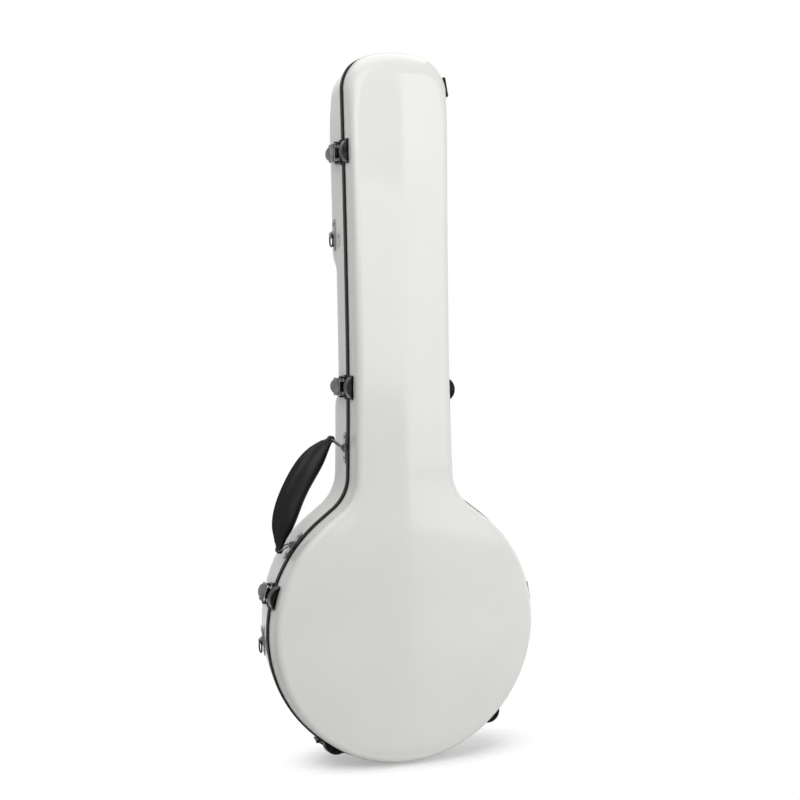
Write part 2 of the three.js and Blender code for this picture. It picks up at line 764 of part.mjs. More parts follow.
function hingeLidLeafGeometry() {
  const lean = (rise) => fitGap - lidSetback - lidDraftShare * rise;
  const foot = fitGap + hingeSheet / 2;
  const strip = alongSeam(polygon([
    [lean(foot), hingeRise + foot],
    [lean(foot) + hingeSheet, hingeRise + foot],
    [lean(lidLeafRise) + hingeSheet, hingeRise + lidLeafRise],
    [lean(lidLeafRise), hingeRise + lidLeafRise],
  ]), -hingeLength / 2, hingeLength / 2, 1);
  const arm = alongSeam(polygon([
    [lean(foot), hingeRise + foot],
    [hingeStand, hingeRise + foot],
    [hingeStand, hingeRise + foot + hingeSheet],
    [lean(foot), hingeRise + foot + hingeSheet],
  ]), -knuckleLength / 2, knuckleLength / 2, 1);
  const knuckle = barAlong(knuckleRadius, knuckleLength / 2, hingeStand, hingeRise);
  const bore = barAlong(knuckleBore, hingeLength, hingeStand, hingeRise);
  return cut(join(strip, arm, knuckle), bore);
}

function hingePinGeometry() {
  const shaft = barAlong(hingePinRadius, hingeLength / 2 + fitGap + hingePinHead, hingeStand, hingeRise);
  const head = (side) => barAlong(knuckleBore + fitGap, hingePinHead / 2, hingeStand, hingeRise)
    .translate(0, side * (hingeLength / 2 + fitGap + hingePinHead / 2), 0);
  return join(shaft, head(1), head(-1));
}

function hinge(name, place) {
  const onWall = wallGroup(place, seamZ, 0);
  onWall.add(piece(`hinge_${name}_base_leaf`, hingeBaseLeafGeometry(place.y), 'hardware'));
  onWall.add(piece(`hinge_${name}_lid_leaf`, hingeLidLeafGeometry(), 'hardware'));
  onWall.add(piece(`hinge_${name}_pin`, hingePinGeometry(), 'hardware'));
  return onWall;
}

// Obround plate with a raised loop; the wire goes through the loop towards the lid

function loopPlateGeometry(drop) {
  const half = plateLength / 2 - plateWidth / 2;
  const outline = new THREE.Shape();
  outline.absarc(half, 0, plateWidth / 2, -Math.PI / 2, Math.PI / 2, false);
  outline.absarc(-half, 0, plateWidth / 2, Math.PI / 2, 3 * Math.PI / 2, false);
  const plate = outOfWall(outline, fitGap, fitGap + plateSheet, arcSteps);
  const face = fitGap + plateSheet;
  const slope = loopSheet * Math.SQRT2;
  const trapezoid = (foot, low, crest, high) => polygon([[low, -foot], [high, -crest], [high, crest], [low, foot]]);
  const loop = upWall(
    trapezoid(loopHalfLength, fitGap + plateSheet / 2, loopCrest, loopRise), -loopWidth / 2, loopWidth / 2, 1);
  const eye = upWall(trapezoid(loopHalfLength - slope, face, loopCrest - loopSheet / 2, loopRise - loopSheet),
    -loopWidth, loopWidth, 1);
  return join(plate, cut(loop, eye)).translate(0, 0, -drop);
}

// Point in the frame of the case that lies a given way out of and down the base wall
function onBaseWall(place, stand, drop) {
  const group = baseWall(place);
  group.updateMatrixWorld(true);
  return new THREE.Vector3(stand, 0, -drop).applyMatrix4(group.matrixWorld);
}

// A closed wire loop in the X-Z plane; the straight bar at X = 0 goes through the plate's loop
function wireLoopGeometry(length, roundEnd) {
  const farRadius = roundEnd ? wireHalfWidth : wireCorner;
  const path = [];
  const corner = (x, z, radius, start) => {
    for (const turn of spread(0, Math.PI / 2, wireCornerSteps)) {
      path.push([x + radius * Math.cos(start + turn), z + radius * Math.sin(start + turn)]);
    }
  };
  corner(length - farRadius, wireHalfWidth - farRadius, farRadius, 0);
  corner(wireCorner, wireHalfWidth - wireCorner, wireCorner, Math.PI / 2);
  corner(wireCorner, wireCorner - wireHalfWidth, wireCorner, Math.PI);
  corner(length - farRadius, farRadius - wireHalfWidth, farRadius, 3 * Math.PI / 2);
  const route = path.filter(([x, z], i) => {
    const [px, pz] = path[(i + path.length - 1) % path.length];
    return Math.hypot(x - px, z - pz) > weldDistance;
  });
  const points = [];
  const triangles = [];
  route.forEach(([x, z], i) => {
    const [ax, az] = route[(i + route.length - 1) % route.length];
    const [bx, bz] = route[(i + 1) % route.length];
    const along = Math.atan2(bz - az, bx - ax);
    for (let side = 0; side < wireSides; side += 1) {
      const turn = 2 * Math.PI * side / wireSides;
      const out = wireRadius * Math.cos(turn);
      points.push(new THREE.Vector3(
        x + out * Math.sin(along), wireRadius * Math.sin(turn), z - out * Math.cos(along)));
    }
    stitch(triangles, i * wireSides, ((i + 1) % route.length) * wireSides, wireSides);
  });
  return closedSkin(points, triangles);
}

function wireGroup(point, angle) {
  const group = new THREE.Group();
  group.position.copy(point);
  group.rotation.z = angle;
  return group;
}

const upperPlatePlace = neckPlace(shoulderCentre().y + upperPlateRise, -1, plateLength / 2);
const lowerPlatePlace = sidePlace(bodyStation(lowerPlateAngle), 1);
const upperStrapPlace = neckPlace(upperStrapY, -1, plateLength / 2);
const lowerStrapPlace = sidePlace(bodyStation(lowerStrapAngle), 1);

const upperEye = onBaseWall(upperPlatePlace, wireStand, handleDrop);
const lowerEye = onBaseWall(lowerPlatePlace, wireStand, handleDrop);
const stepFrom = (point, length, angle) =>
  new THREE.Vector3(point.x + length * Math.cos(angle), point.y + length * Math.sin(angle), point.z);
const upperRoll = stepFrom(upperEye, upperLinkLength, upperLinkAngle);
const lowerRoll = stepFrom(lowerEye, lowerLinkLength, lowerLinkAngle);

// Padded grip: an oval section that swells and thins along a bowed line between the two rolls
function gripGeometry() {
  const middle = upperRoll.clone().add(lowerRoll).divideScalar(2);
  const chord = lowerRoll.clone().sub(upperRoll).setZ(0).normalize();
  const away = new THREE.Vector3(chord.y, -chord.x, 0);
  const path = new THREE.QuadraticBezierCurve3(
    upperRoll, middle.clone().addScaledVector(away, 2 * gripBow), lowerRoll);
  const points = [];
  const triangles = [];
  const last = gripWidthShares.length - 1;
  gripWidthShares.forEach((share, i) => {
    const centre = path.getPoint(i / last);
    const tangent = path.getTangent(i / last);
    const side = new THREE.Vector3(tangent.y, -tangent.x, 0);
    for (let k = 0; k < gripSides; k += 1) {
      const turn = 2 * Math.PI * k / gripSides;
      const point = centre.clone().addScaledVector(side, gripHalfWidth * share * Math.cos(turn));
      point.z += gripHalfThickness * gripDepthShares[i] * Math.sin(turn);
      points.push(point);
    }
    if (i < last) stitch(triangles, i * gripSides, (i + 1) * gripSides, gripSides);
  });
  for (const [start, turned] of [[0, false], [last * gripSides, true]]) {
    for (let k = 1; k + 1 < gripSides; k += 1) {
      triangles.push(turned ? [start, start + k, start + k + 1] : [start, start + k + 1, start + k]);
    }
  }
  const roll = (radius, halfLength, centre) =>
    new THREE.CylinderGeometry(radius, radius, 2 * halfLength, smallRoundSteps)
      .rotateX(Math.PI / 2).translate(centre.x, centre.y, centre.z);
  const boreRadius = wireRadius + pinGap;
  return cut(
    join(closedSkin(points, triangles),
      roll(rollRadius, rollHalfLength, upperRoll), roll(rollRadius, rollHalfLength, lowerRoll)),
    roll(boreRadius, wireHalfWidth, upperRoll), roll(wireRadius + openRollPlay, wireHalfWidth, lowerRoll));
}

function loopPlate(name, place, drop) {
  const group = baseWall(place);
  group.add(piece(name, loopPlateGeometry(drop), 'plate'));
  return group;
}

function wire(name, eye, length, angle, roundEnd) {
  const group = wireGroup(eye, angle);
  group.add(piece(name, wireLoopGeometry(length, roundEnd), 'hardware'));
  return group;
}

const strapRing = (name, place) =>
  wire(name, onBaseWall(place, wireStand, strapDrop), strapRingLength, -Math.PI / 2, true);

const banjoCase = new THREE.Group();
banjoCase.name = 'banjo_case';
banjoCase.add(baseShell, lidShell, gasket, baseLining, lidLining);
banjoCase.add(neckCradle, bodyPartition, headPartition, compartmentLid);
for (const [name, place] of Object.entries(latchPlaces)) banjoCase.add(...latch(name, place));
for (const [name, place] of Object.entries(hingeLine())) banjoCase.add(hinge(name, place));
banjoCase.add(
  loopPlate('handle_plate_upper', upperPlatePlace, handleDrop),
  loopPlate('handle_plate_lower', lowerPlatePlace, handleDrop),
  loopPlate('strap_plate_upper', upperStrapPlace, strapDrop),
  loopPlate('strap_plate_lower', lowerStrapPlace, strapDrop),
  wire('handle_link_upper', upperEye, upperLinkLength, upperLinkAngle, false),
  wire('handle_link_lower', lowerEye, lowerLinkLength, lowerLinkAngle, false),
  strapRing('strap_ring_upper', upperStrapPlace),
  strapRing('strap_ring_lower', lowerStrapPlace),
  piece('handle_grip', gripGeometry(), 'leather'),
);

export default banjoCase;
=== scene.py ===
# %% [markdown]
# # A moulded banjo case
#
# The case stands on its round end in a white studio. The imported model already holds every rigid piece
# at its real size. This lesson dresses it: smooth glossy shells, a ribbed rubber joint, and latches,
# hinges, handle and rings with the round edges, rivets and stitches that the real ones have.

# %% Load the frame
import math

import bmesh
import bpy
import numpy as np
from mathutils import Matrix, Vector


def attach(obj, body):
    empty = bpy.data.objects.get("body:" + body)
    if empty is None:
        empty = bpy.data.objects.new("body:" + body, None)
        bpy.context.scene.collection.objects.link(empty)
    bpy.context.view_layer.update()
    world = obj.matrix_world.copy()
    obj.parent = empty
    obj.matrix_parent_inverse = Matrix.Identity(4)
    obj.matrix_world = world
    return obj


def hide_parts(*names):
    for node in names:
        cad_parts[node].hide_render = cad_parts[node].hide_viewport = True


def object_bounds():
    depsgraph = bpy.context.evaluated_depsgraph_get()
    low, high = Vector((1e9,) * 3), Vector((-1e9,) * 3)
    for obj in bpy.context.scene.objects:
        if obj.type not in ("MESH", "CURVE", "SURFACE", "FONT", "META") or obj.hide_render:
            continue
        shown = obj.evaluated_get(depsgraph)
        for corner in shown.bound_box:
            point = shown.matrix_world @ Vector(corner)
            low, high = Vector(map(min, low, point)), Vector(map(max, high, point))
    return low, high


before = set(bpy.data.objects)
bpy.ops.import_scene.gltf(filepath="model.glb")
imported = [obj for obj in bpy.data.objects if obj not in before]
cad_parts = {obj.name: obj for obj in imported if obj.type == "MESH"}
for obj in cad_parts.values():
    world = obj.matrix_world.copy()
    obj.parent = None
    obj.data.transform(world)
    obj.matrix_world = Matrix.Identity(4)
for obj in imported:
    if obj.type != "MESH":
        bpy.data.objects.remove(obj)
cad_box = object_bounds()
MM = 0.001

# %% [markdown]
# ## The camera
#
# A camera is a place, a direction and a lens. The place could be found by hand, by turning until the
# outline agrees with the photograph. Here it is worked out from two viewing angles, a small roll and
# the distance to a target.

# %% Camera
SWING, RISE, ROLL = 0.3519, 0.0672, -0.0156
DISTANCE = 2100.65 * MM
TARGET = np.array((16.61, 331.55, 64.95)) * MM
LENS = 63

back = np.array((-math.sin(SWING) * math.cos(RISE), math.sin(RISE), math.cos(SWING) * math.cos(RISE)))
level = np.array((math.cos(SWING), 0, math.sin(SWING)))
upright = np.cross(back, level)
right = math.cos(ROLL) * level + math.sin(ROLL) * upright
up = -math.sin(ROLL) * level + math.cos(ROLL) * upright


def frame_of(axes, place):
    """The matrix with the directions of three axes and a place as its columns."""
    matrix = np.eye(4)
    matrix[:3] = np.column_stack((*axes, place))
    return matrix


def stand(name, data, matrix=np.eye(4)):
    """A new object in the scene."""
    made = bpy.data.objects.new(name, data)
    made.matrix_world = Matrix(matrix)
    bpy.context.scene.collection.objects.link(made)
    return made


camera_place = TARGET + DISTANCE * back
camera = stand("camera", bpy.data.cameras.new("camera"), frame_of((right, up, back), camera_place))
camera.data.lens = LENS
camera.data.clip_end = 20
bpy.context.scene.camera = camera
bpy.context.scene.view_settings.view_transform = "Standard"
print("camera at", np.round(camera_place, 3))

# %% [markdown]
# ## Shader maths as plain expressions
#
# A material is a graph of nodes. Each link could be drawn by hand. It reads better when a socket can be
# added and multiplied like a number, so a small class wraps a socket, and a second one makes the nodes.

# %% Nodes
class Value:
    """A number on its way through a node tree."""

    def __init__(self, nodes, socket):
        self.nodes, self.socket = nodes, socket

    def _math(self, operation, first, second):
        return self.nodes.node("ShaderNodeMath", {"operation": operation}, {0: first, 1: second})

    def __add__(self, other):
        return self._math("ADD", self, other)

    def __mul__(self, other):
        return self._math("MULTIPLY", self, other)

    def __sub__(self, other):
        return self._math("SUBTRACT", self, other)

    def __rsub__(self, other):
        return self._math("SUBTRACT", other, self)

    __radd__ = __add__
    __rmul__ = __mul__


class Nodes:
    """A node tree, and one method that makes any node in it."""

    def __init__(self, tree):
        self.tree = tree

    def plug(self, node, key, value):
        if isinstance(value, Value):
            self.tree.links.new(value.socket, node.inputs[key])
        else:
            node.inputs[key].default_value = value

    def node(self, kind, settings=(), sockets=(), output=0):
        """Any node: first its settings, then what goes into its sockets. Gives one of its outputs."""
        made = self.tree.nodes.new(kind)
        for key, value in dict(settings).items():
            setattr(made, key, value)
        for key, value in dict(sockets).items():
            self.plug(made, key, value)
        return Value(self, made.outputs[output])

    def place(self):
        return self.node("ShaderNodeTexCoord", output="Object")

    def noise(self, scale, detail=3.0, rough=0.5, vector=None):
        sockets = {"Vector": vector or self.place(), "Scale": scale, "Detail": detail, "Roughness": rough}
        return self.node("ShaderNodeTexNoise", {}, sockets)

    def step(self, value, low, high):
        """0 below low, 1 above high, and a smooth rise between them."""
        sockets = {"Value": value, "From Min": low, "From Max": high}
        return self.node("ShaderNodeMapRange", {"interpolation_type": "SMOOTHSTEP"}, sockets)

    def blend(self, factor, first, second):
        return self.node("ShaderNodeMix", {"data_type": "RGBA"}, {"Factor": factor, 6: first, 7: second}, 2)


class Finish(Nodes):
    """A material and its Principled shader."""

    def __init__(self, name, **sockets):
        self.material = bpy.data.materials.new(name)
        self.material.use_nodes = True
        super().__init__(self.material.node_tree)
        self.shader = self.tree.nodes["Principled BSDF"]
        self.output = self.tree.nodes["Material Output"]
        self.set(**sockets)

    def set(self, **sockets):
        """Numbers, colours or links for the Principled shader, by the names of its sockets."""
        for key, value in sockets.items():
            self.plug(self.shader, key.replace("_", " ").title().replace("Ior", "IOR"), value)

    def bump(self, height, strength, distance):
        sockets = {"Height": height, "Strength": strength, "Distance": distance}
        self.set(normal=self.node("ShaderNodeBump", {}, sockets))


def grey(level, blue=1.0):
    """A near neutral colour."""
    return (level, level, level * blue, 1.0)


# %% [markdown]
# ## Finishes
#
# Gelcoat is a thick gloss paint that is sprayed into the mould. It has a faint ripple, and wear makes
# the gloss a little uneven. The dark metal is plated, so most of what it shows is the room. Rubber,
# leather and plush have a grain. The patterns read Object coordinates, in metres, or the piece's map.

# %% Gelcoat
def gelcoat():
    finish = Finish("white_gelcoat", specular_ior_level=0.42)
    duller, brighter = grey(0.800, 0.96), grey(0.822, 0.965)
    clouds = finish.noise(9.0)
    smears = finish.noise(38.0, 5.0, 0.62)
    ripple = finish.noise(85.0, 2.0)
    finish.set(base_color=finish.blend(finish.step(clouds, 0.3, 0.7), duller, brighter),
               roughness=finish.step(smears, 0.35, 0.75) * 0.04 + 0.07)
    finish.bump(ripple, 0.05, 0.4 * MM)
    return finish.material


# %% Rubber
def rubber():
    finish = Finish("black_rubber", specular_ior_level=0.12)
    mapped = finish.node("ShaderNodeUVMap", {"uv_map": "seam"})
    ribs = finish.node("ShaderNodeTexWave", {"wave_type": "BANDS", "bands_direction": "X"},
                       {"Vector": mapped, "Scale": 62.0, "Distortion": 0.0}, 1)
    grain = finish.noise(900.0)
    dust = finish.step(finish.noise(60.0, 5.0, 0.65), 0.5, 0.8)
    finish.set(base_color=finish.blend(dust, grey(0.003, 1.05), grey(0.007, 1.05)),
               roughness=dust * 0.12 + 0.4)
    finish.bump(ribs * 0.8 + grain * 0.2, 0.55, 0.5 * MM)
    return finish.material


# %% Metals
def plated(name, dark, bright, low_roughness, brushing):
    """Stains change the colour and the gloss a little, and fine scratches run round the z axis."""
    finish = Finish(name, metallic=1.0)
    stretch = finish.node("ShaderNodeMapping", {}, {"Vector": finish.place(), "Scale": (1.0, 1.0, 9.0)})
    scratches = finish.noise(420.0, 6.0, 0.7, stretch)
    stains = finish.noise(110.0, 4.0, 0.6)
    finish.set(base_color=finish.blend(finish.step(stains, 0.35, 0.7), dark, bright),
               roughness=finish.step(stains, 0.3, 0.8) * 0.1 + low_roughness)
    finish.bump(scratches, brushing, 0.08 * MM)
    return finish.material


# %% Leather and thread
def leather():
    finish = Finish("black_leather", specular_ior_level=0.2)
    pores = finish.node("ShaderNodeTexVoronoi", {"feature": "SMOOTH_F1"},
                        {"Vector": finish.place(), "Scale": 900.0, "Smoothness": 0.6})
    folds = finish.noise(130.0, 5.0, 0.6)
    wear = finish.step(finish.noise(45.0, 5.0, 0.6), 0.5, 0.75)
    finish.set(base_color=finish.blend(wear, grey(0.003), grey(0.006)), roughness=wear * 0.12 + 0.28)
    finish.bump(pores * 0.6 + folds * 0.9, 0.4, 0.45 * MM)
    return finish.material


def thread():
    finish = Finish("waxed_thread", roughness=0.55)
    twist = finish.noise(1800.0, 2.0)
    finish.set(base_color=finish.blend(twist, grey(0.012), grey(0.04)))
    finish.bump(twist, 0.4, 0.2 * MM)
    return finish.material


# %% Plush
def plush():
    finish = Finish("black_plush", sheen_weight=0.6, sheen_roughness=0.4, roughness=0.95)
    pile = finish.noise(2600.0, 3.0, 0.7)
    crush = finish.noise(28.0, 5.0, 0.6)
    finish.set(base_color=finish.blend(crush, grey(0.010, 1.3), grey(0.026, 1.23)))
    finish.bump(pile * 0.7 + crush * 0.6, 0.7, 0.7 * MM)
    return finish.material


GELCOAT, RUBBER, LEATHER, THREAD, PLUSH = gelcoat(), rubber(), leather(), thread(), plush()
NICKEL = plated("black_nickel", grey(0.105, 1.02), grey(0.17, 0.99), 0.2, 0.12)
STEEL = plated("grey_nickel", grey(0.25, 0.99), grey(0.34, 0.98), 0.26, 0.2)
SATIN = plated("satin_nickel", grey(0.13), grey(0.2, 0.98), 0.36, 0.2)
SMOKED = plated("smoked_nickel", grey(0.006), grey(0.016, 0.95), 0.16, 0.1)
SCREW = plated("dark_screw", grey(0.035), grey(0.07), 0.28, 0.1)
print("finishes", [m.name for m in bpy.data.materials])

# %% [markdown]
# ## Surfaces as arrays
#
# Every new piece is a surface of two parameters on a grid of points, or a flat outline that is pulled
# straight. The points come from whole arrays, so a shell of fifty thousand points takes no loop.
# Lengths inside these functions are millimetres, and the mesh gets metres.

# %% Mesh helpers
def skin(grid, loop=False, ring=False):
    """Quads between neighbours in grid[row, column]. Rows may close to a loop, columns to a ring."""
    rows, columns = grid.shape[:2]
    number = np.arange(rows * columns).reshape(rows, columns)
    if loop:
        number = np.vstack((number, number[:1]))
    if ring:
        number = np.hstack((number, number[:, :1]))
    corners = (number[:-1, :-1], number[:-1, 1:], number[1:, 1:], number[1:, :-1])
    return grid.reshape(-1, 3), np.stack(corners, -1).reshape(-1, 4).tolist()


def together(*parts):
    """Several lists of points and faces as one, with each face's numbers moved along."""
    points, faces, start = [], [], 0
    for part_points, part_faces in parts:
        points.append(part_points)
        faces += [[start + corner for corner in face] for face in part_faces]
        start += len(part_points)
    return np.vstack(points), faces


def prism(outline, low, high):
    """A flat outline pulled from low to high along the third axis, with both ends closed."""
    count = len(outline)
    grid = np.empty((2, count, 3))
    grid[..., :2] = outline
    grid[..., 2] = ((low,), (high,))
    points, faces = skin(grid, ring=True)
    return points, faces + [list(range(count))[::-1], list(range(count, 2 * count))]


def turned(profile, steps=24):
    """A profile of (radius, height) swept once round the third axis. Radius 0 closes a pole."""
    profile = np.asarray(profile, float)
    angles = np.arange(steps) * math.tau / steps
    radius, height = profile[:, :1], profile[:, 1:]
    grid = np.stack((radius * np.cos(angles), radius * np.sin(angles), height + 0 * angles), -1)
    return skin(grid, ring=True)


def tube(bore, face, radius, start, stop, edge, steps=24):
    """A bar, or a tube round a bore, along the third axis. Its flat ends reach out to the radius face."""
    profile = [(bore, start), (face, start), (radius, start + edge), (radius, stop - edge), (face, stop),
               (bore, stop)]
    if bore:
        profile.append(profile[0])
    return turned(profile, steps)


def arc(x, y, radius, start, stop, steps):
    """Points on a circle round (x, y), by angles in degrees."""
    angles = np.radians(np.linspace(start, stop, steps))
    return np.stack((x + radius * np.cos(angles), y + radius * np.sin(angles)), -1)


def swapped(part, order):
    """The same part with its axes in another order."""
    points, faces = part
    return points[:, order], faces


def moved(part, x=0.0, y=0.0, z=0.0):
    return part[0] + np.array((x, y, z)), part[1]


def rectangle(left, right, low, high):
    return (left, low), (right, low), (right, high), (left, high)


ALONG, OUTWARD = (0, 2, 1), (2, 0, 1)


def strip(outline, start, stop):
    """An outline in x and z, pulled along y."""
    return swapped(prism(outline, start, stop), ALONG)


def slab(outline, low, high):
    """An outline in y and z, pulled along x."""
    return swapped(prism(outline, low, high), OUTWARD)


def piece(name, part, finish, body, stands_for=(), edge=0.0, sharp=40, matrix=None, uv=None):
    """A mesh object, from millimetres in the frame of the case or of a matrix. edge rounds its edges."""
    points, faces = part
    if matrix is not None:
        points = points @ matrix[:3, :3].T + matrix[:3, 3]
    mesh = bpy.data.meshes.new(name)
    mesh.from_pydata((points * MM).tolist(), [], faces)
    made = stand(name, mesh)
    if uv:
        corner = np.empty(len(mesh.loops), np.int32)
        mesh.loops.foreach_get("vertex_index", corner)
        mesh.uv_layers.new(name="seam").data.foreach_set("uv", uv(corner).ravel())
    weld(mesh)
    mesh.shade_smooth()
    mesh.set_sharp_from_angle(angle=math.radians(sharp))
    mesh.materials.append(finish)
    if edge:
        bevel = made.modifiers.new("round_edges", "BEVEL")
        bevel.width, bevel.segments, bevel.limit_method = edge * MM, 2, "ANGLE"
        bevel.angle_limit, bevel.harden_normals = math.radians(35), True
    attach(made, body)
    if stands_for:
        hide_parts(*stands_for)
    return made


def weld(mesh):
    """Merges points in one place, such as poles, and turns the faces outwards."""
    work = bmesh.new()
    work.from_mesh(mesh)
    bmesh.ops.remove_doubles(work, verts=work.verts, dist=0.002 * MM)
    bmesh.ops.recalc_face_normals(work, faces=work.faces)
    work.to_mesh(mesh)
    work.free()


# %% [markdown]
# ## The outline of the case
#
# Seen from above the lid, the case is a circle, a shoulder that hollows into the neck, a neck with a
# slight waist, and a head with round corners. It could be drawn point by point, but each stretch is an
# arc or a simple curve, so it is worked out from a few sizes. Every station keeps the way that the side
# faces there, because the walls, rims and linings are the same outline moved inwards along it.

# %% Outline
BODY_RADIUS = 204
ROOT_HALF_WIDTH, WAIST_HALF_WIDTH, HEAD_HALF_WIDTH = 78.3, 75, 77.2
WAIST_Y, TOP_Y = 430, 838
CORNER_RADIUS, SHOULDER_RADIUS = 53.2, 61.4
SHOULDER_ANGLE, HEAD_ARCH = 52.5, 12.4

hollow_x = ROOT_HALF_WIDTH + SHOULDER_RADIUS
hollow_y = BODY_RADIUS + SHOULDER_RADIUS - hollow_x * math.cos(math.radians(SHOULDER_ANGLE))
hollow_y /= math.sin(math.radians(SHOULDER_ANGLE))
corner_x = HEAD_HALF_WIDTH - CORNER_RADIUS
arch_reach = corner_x / math.sin(math.radians(HEAD_ARCH))
corner_y = TOP_Y - CORNER_RADIUS - arch_reach * (1 - math.cos(math.radians(HEAD_ARCH)))


def neck_half_width(y):
    """The waist's half width, growing with the square of the way from the waist."""
    below = y < WAIST_Y
    reach = np.where(below, hollow_y - WAIST_Y, TOP_Y - CORNER_RADIUS - WAIST_Y)
    growth = np.where(below, ROOT_HALF_WIDTH, HEAD_HALF_WIDTH) - WAIST_HALF_WIDTH
    return WAIST_HALF_WIDTH + growth * ((y - WAIST_Y) / reach) ** 2


def round_run(x, y, radius, angles, inside=1):
    """Stations on an arc; inside is -1 where the arc is hollow."""
    turn = np.radians(angles)
    way = np.stack((np.cos(turn), np.sin(turn)), -1)
    return np.hstack((np.array((x, y)) + inside * radius * way, way))


def neck_run(y):
    """Stations on the neck, where outward is square to the slope of its half width."""
    slope = (neck_half_width(y + 0.05) - neck_half_width(y - 0.05)) / 0.1
    way = np.stack((np.ones_like(y), -slope), -1) / np.sqrt(1 + slope[:, None] ** 2)
    return np.hstack((neck_half_width(y)[:, None], y[:, None], way))


def right_half(fine=1.0):
    """Stations x, y, outward x, outward y from the bottom of the body to the top of the head."""
    count = lambda n: max(int(n * fine), 3)
    return np.vstack((
        round_run(0, 0, BODY_RADIUS, np.linspace(-90, SHOULDER_ANGLE, count(150))),
        round_run(hollow_x, hollow_y, SHOULDER_RADIUS, np.linspace(SHOULDER_ANGLE, 0, count(40))[1:], -1),
        neck_run(np.linspace(hollow_y, corner_y, count(150))[1:-1]),
        round_run(corner_x, corner_y, CORNER_RADIUS, np.linspace(0, 90 - HEAD_ARCH, count(44))),
        round_run(0, TOP_Y - CORNER_RADIUS - arch_reach, CORNER_RADIUS + arch_reach,
                  np.linspace(90 - HEAD_ARCH, 90, count(16)))[1:],
    ))


HALF = right_half()


def whole(half):
    """The right half and its mirror image as one closed round."""
    return np.vstack((half, half[-2:0:-1] * (-1, 1, -1, 1)))


def rings(half, inset, z):
    """Rows of points: row i is the outline moved inwards by inset[i], at the heights z[i]."""
    ring = whole(half)
    grid = np.empty((*inset.shape, 3))
    grid[..., :2] = ring[:, :2] - inset[..., None] * ring[:, 2:]
    grid[..., 2] = z
    return grid


def cap(ring_points, columns, lift):
    """Closes a ring by rows from its left to its right side; a row's middle is lifted, as 1 - s squared."""
    right_side = ring_points[:len(ring_points) // 2 + 1]
    across = np.linspace(-1, 1, columns + 1)
    grid = np.empty((len(right_side), columns + 1, 3))
    grid[..., 0] = right_side[:, :1] * across
    grid[..., 1] = right_side[:, 1:2]
    grid[..., 2] = right_side[:, 2:] + lift(np.abs(right_side[:, :1])) * (1 - across ** 2)
    return skin(grid)


print("outline stations", 2 * len(HALF) - 2, "shoulder centre", round(hollow_x, 1), round(hollow_y, 1))

# %% [markdown]
# ## The two shells
#
# Each shell is a pan. Its section is a drafted side that rolls over into the flat, and the inside is
# the same section one wall further in. The back is stepped up along the neck. The lid is crowned: each
# row from left to right is a shallow arch, which makes the long soft reflections on the front. The
# section is a list of insets and heights, and the grid is that section carried round the outline.

# %% Shell sections
WALL, SEAM_Z, BASE_RIM_Z, BASE_ROUND = 3, 98, 95, 40
BODY_LEAN, NECK_LEAN, HEAD_LEAN = 0.13, 0.005, 0.137
LEAN_END, HEAD_START = 140, 725
STEP, STEP_START, STEP_END, STEP_RUN = 17, 325, 552, 27
LID_RIM_Z, LID_EDGE_Z = 103.3, 133.3
LID_ROUND, LID_HEAD_ROUND = 11, 28
LID_DRAFT, LID_SETBACK = 0.097, 0.6
BODY_CROWN, NECK_CROWN = 9, 4


def smooth(value, start, stop):
    share = np.clip((value - start) / (stop - start), 0, 1)
    return share * share * (3 - 2 * share)


def back_z(y):
    """Height of the back: raised between two smooth steps."""
    return STEP * (smooth(y, STEP_START, STEP_START + STEP_RUN) - smooth(y, STEP_END - STEP_RUN, STEP_END))


def lean(y):
    """How far the base's side leans in for each millimetre of depth: much on the body and the head."""
    return (BODY_LEAN + (NECK_LEAN - BODY_LEAN) * smooth(y, 0, LEAN_END)
            + (HEAD_LEAN - NECK_LEAN) * smooth(y, HEAD_START, TOP_Y))


def base_section(half, depth, rim_z, steps=14):
    """Insets and heights of the base's skin at a depth below its face, from the rim to the flat back."""
    y = whole(half)[:, 1]
    floor = back_z(y)
    radius = BASE_ROUND - depth
    turn = np.linspace(0, math.pi / 2, steps)[:, None]
    side_z = np.linspace(rim_z, floor + BASE_ROUND, 6)[:-1]
    side = depth + lean(y) * (SEAM_Z - side_z)
    start = depth + lean(y) * (SEAM_Z - floor - BASE_ROUND)
    round_inset = start + radius * (1 - np.cos(turn))
    round_z = floor + depth + radius * (1 - np.sin(turn))
    return np.vstack((side, round_inset)), np.vstack((side_z, round_z))


def lid_section(half, depth, rim_z, steps=12):
    """The same for the lid, whose round widens towards the head."""
    corner = LID_ROUND + (LID_HEAD_ROUND - LID_ROUND) * smooth(whole(half)[:, 1], HEAD_START, TOP_Y)
    round_z = LID_EDGE_Z - corner
    turn = np.linspace(0, math.pi / 2, steps)[:, None]
    side_z = np.linspace(rim_z, round_z, 6)[:-1]
    side = depth + LID_SETBACK + LID_DRAFT * (side_z - LID_RIM_Z)
    start = depth + LID_SETBACK + LID_DRAFT * (round_z - LID_RIM_Z)
    round_inset = start + (corner - depth) * (1 - np.cos(turn))
    return np.vstack((side, round_inset)), np.vstack((side_z, round_z + (corner - depth) * np.sin(turn)))


def crown(half_width):
    """Height of the arch over a row from its half width: slow on the neck, then up to the body's."""
    narrow = NECK_CROWN * (half_width / WAIST_HALF_WIDTH) ** 2
    share = (half_width - WAIST_HALF_WIDTH) / (BODY_RADIUS - WAIST_HALF_WIDTH)
    wide = NECK_CROWN + (BODY_CROWN - NECK_CROWN) * share
    return np.where(half_width < WAIST_HALF_WIDTH, narrow, wide)


def flat(half_width):
    return 0 * half_width


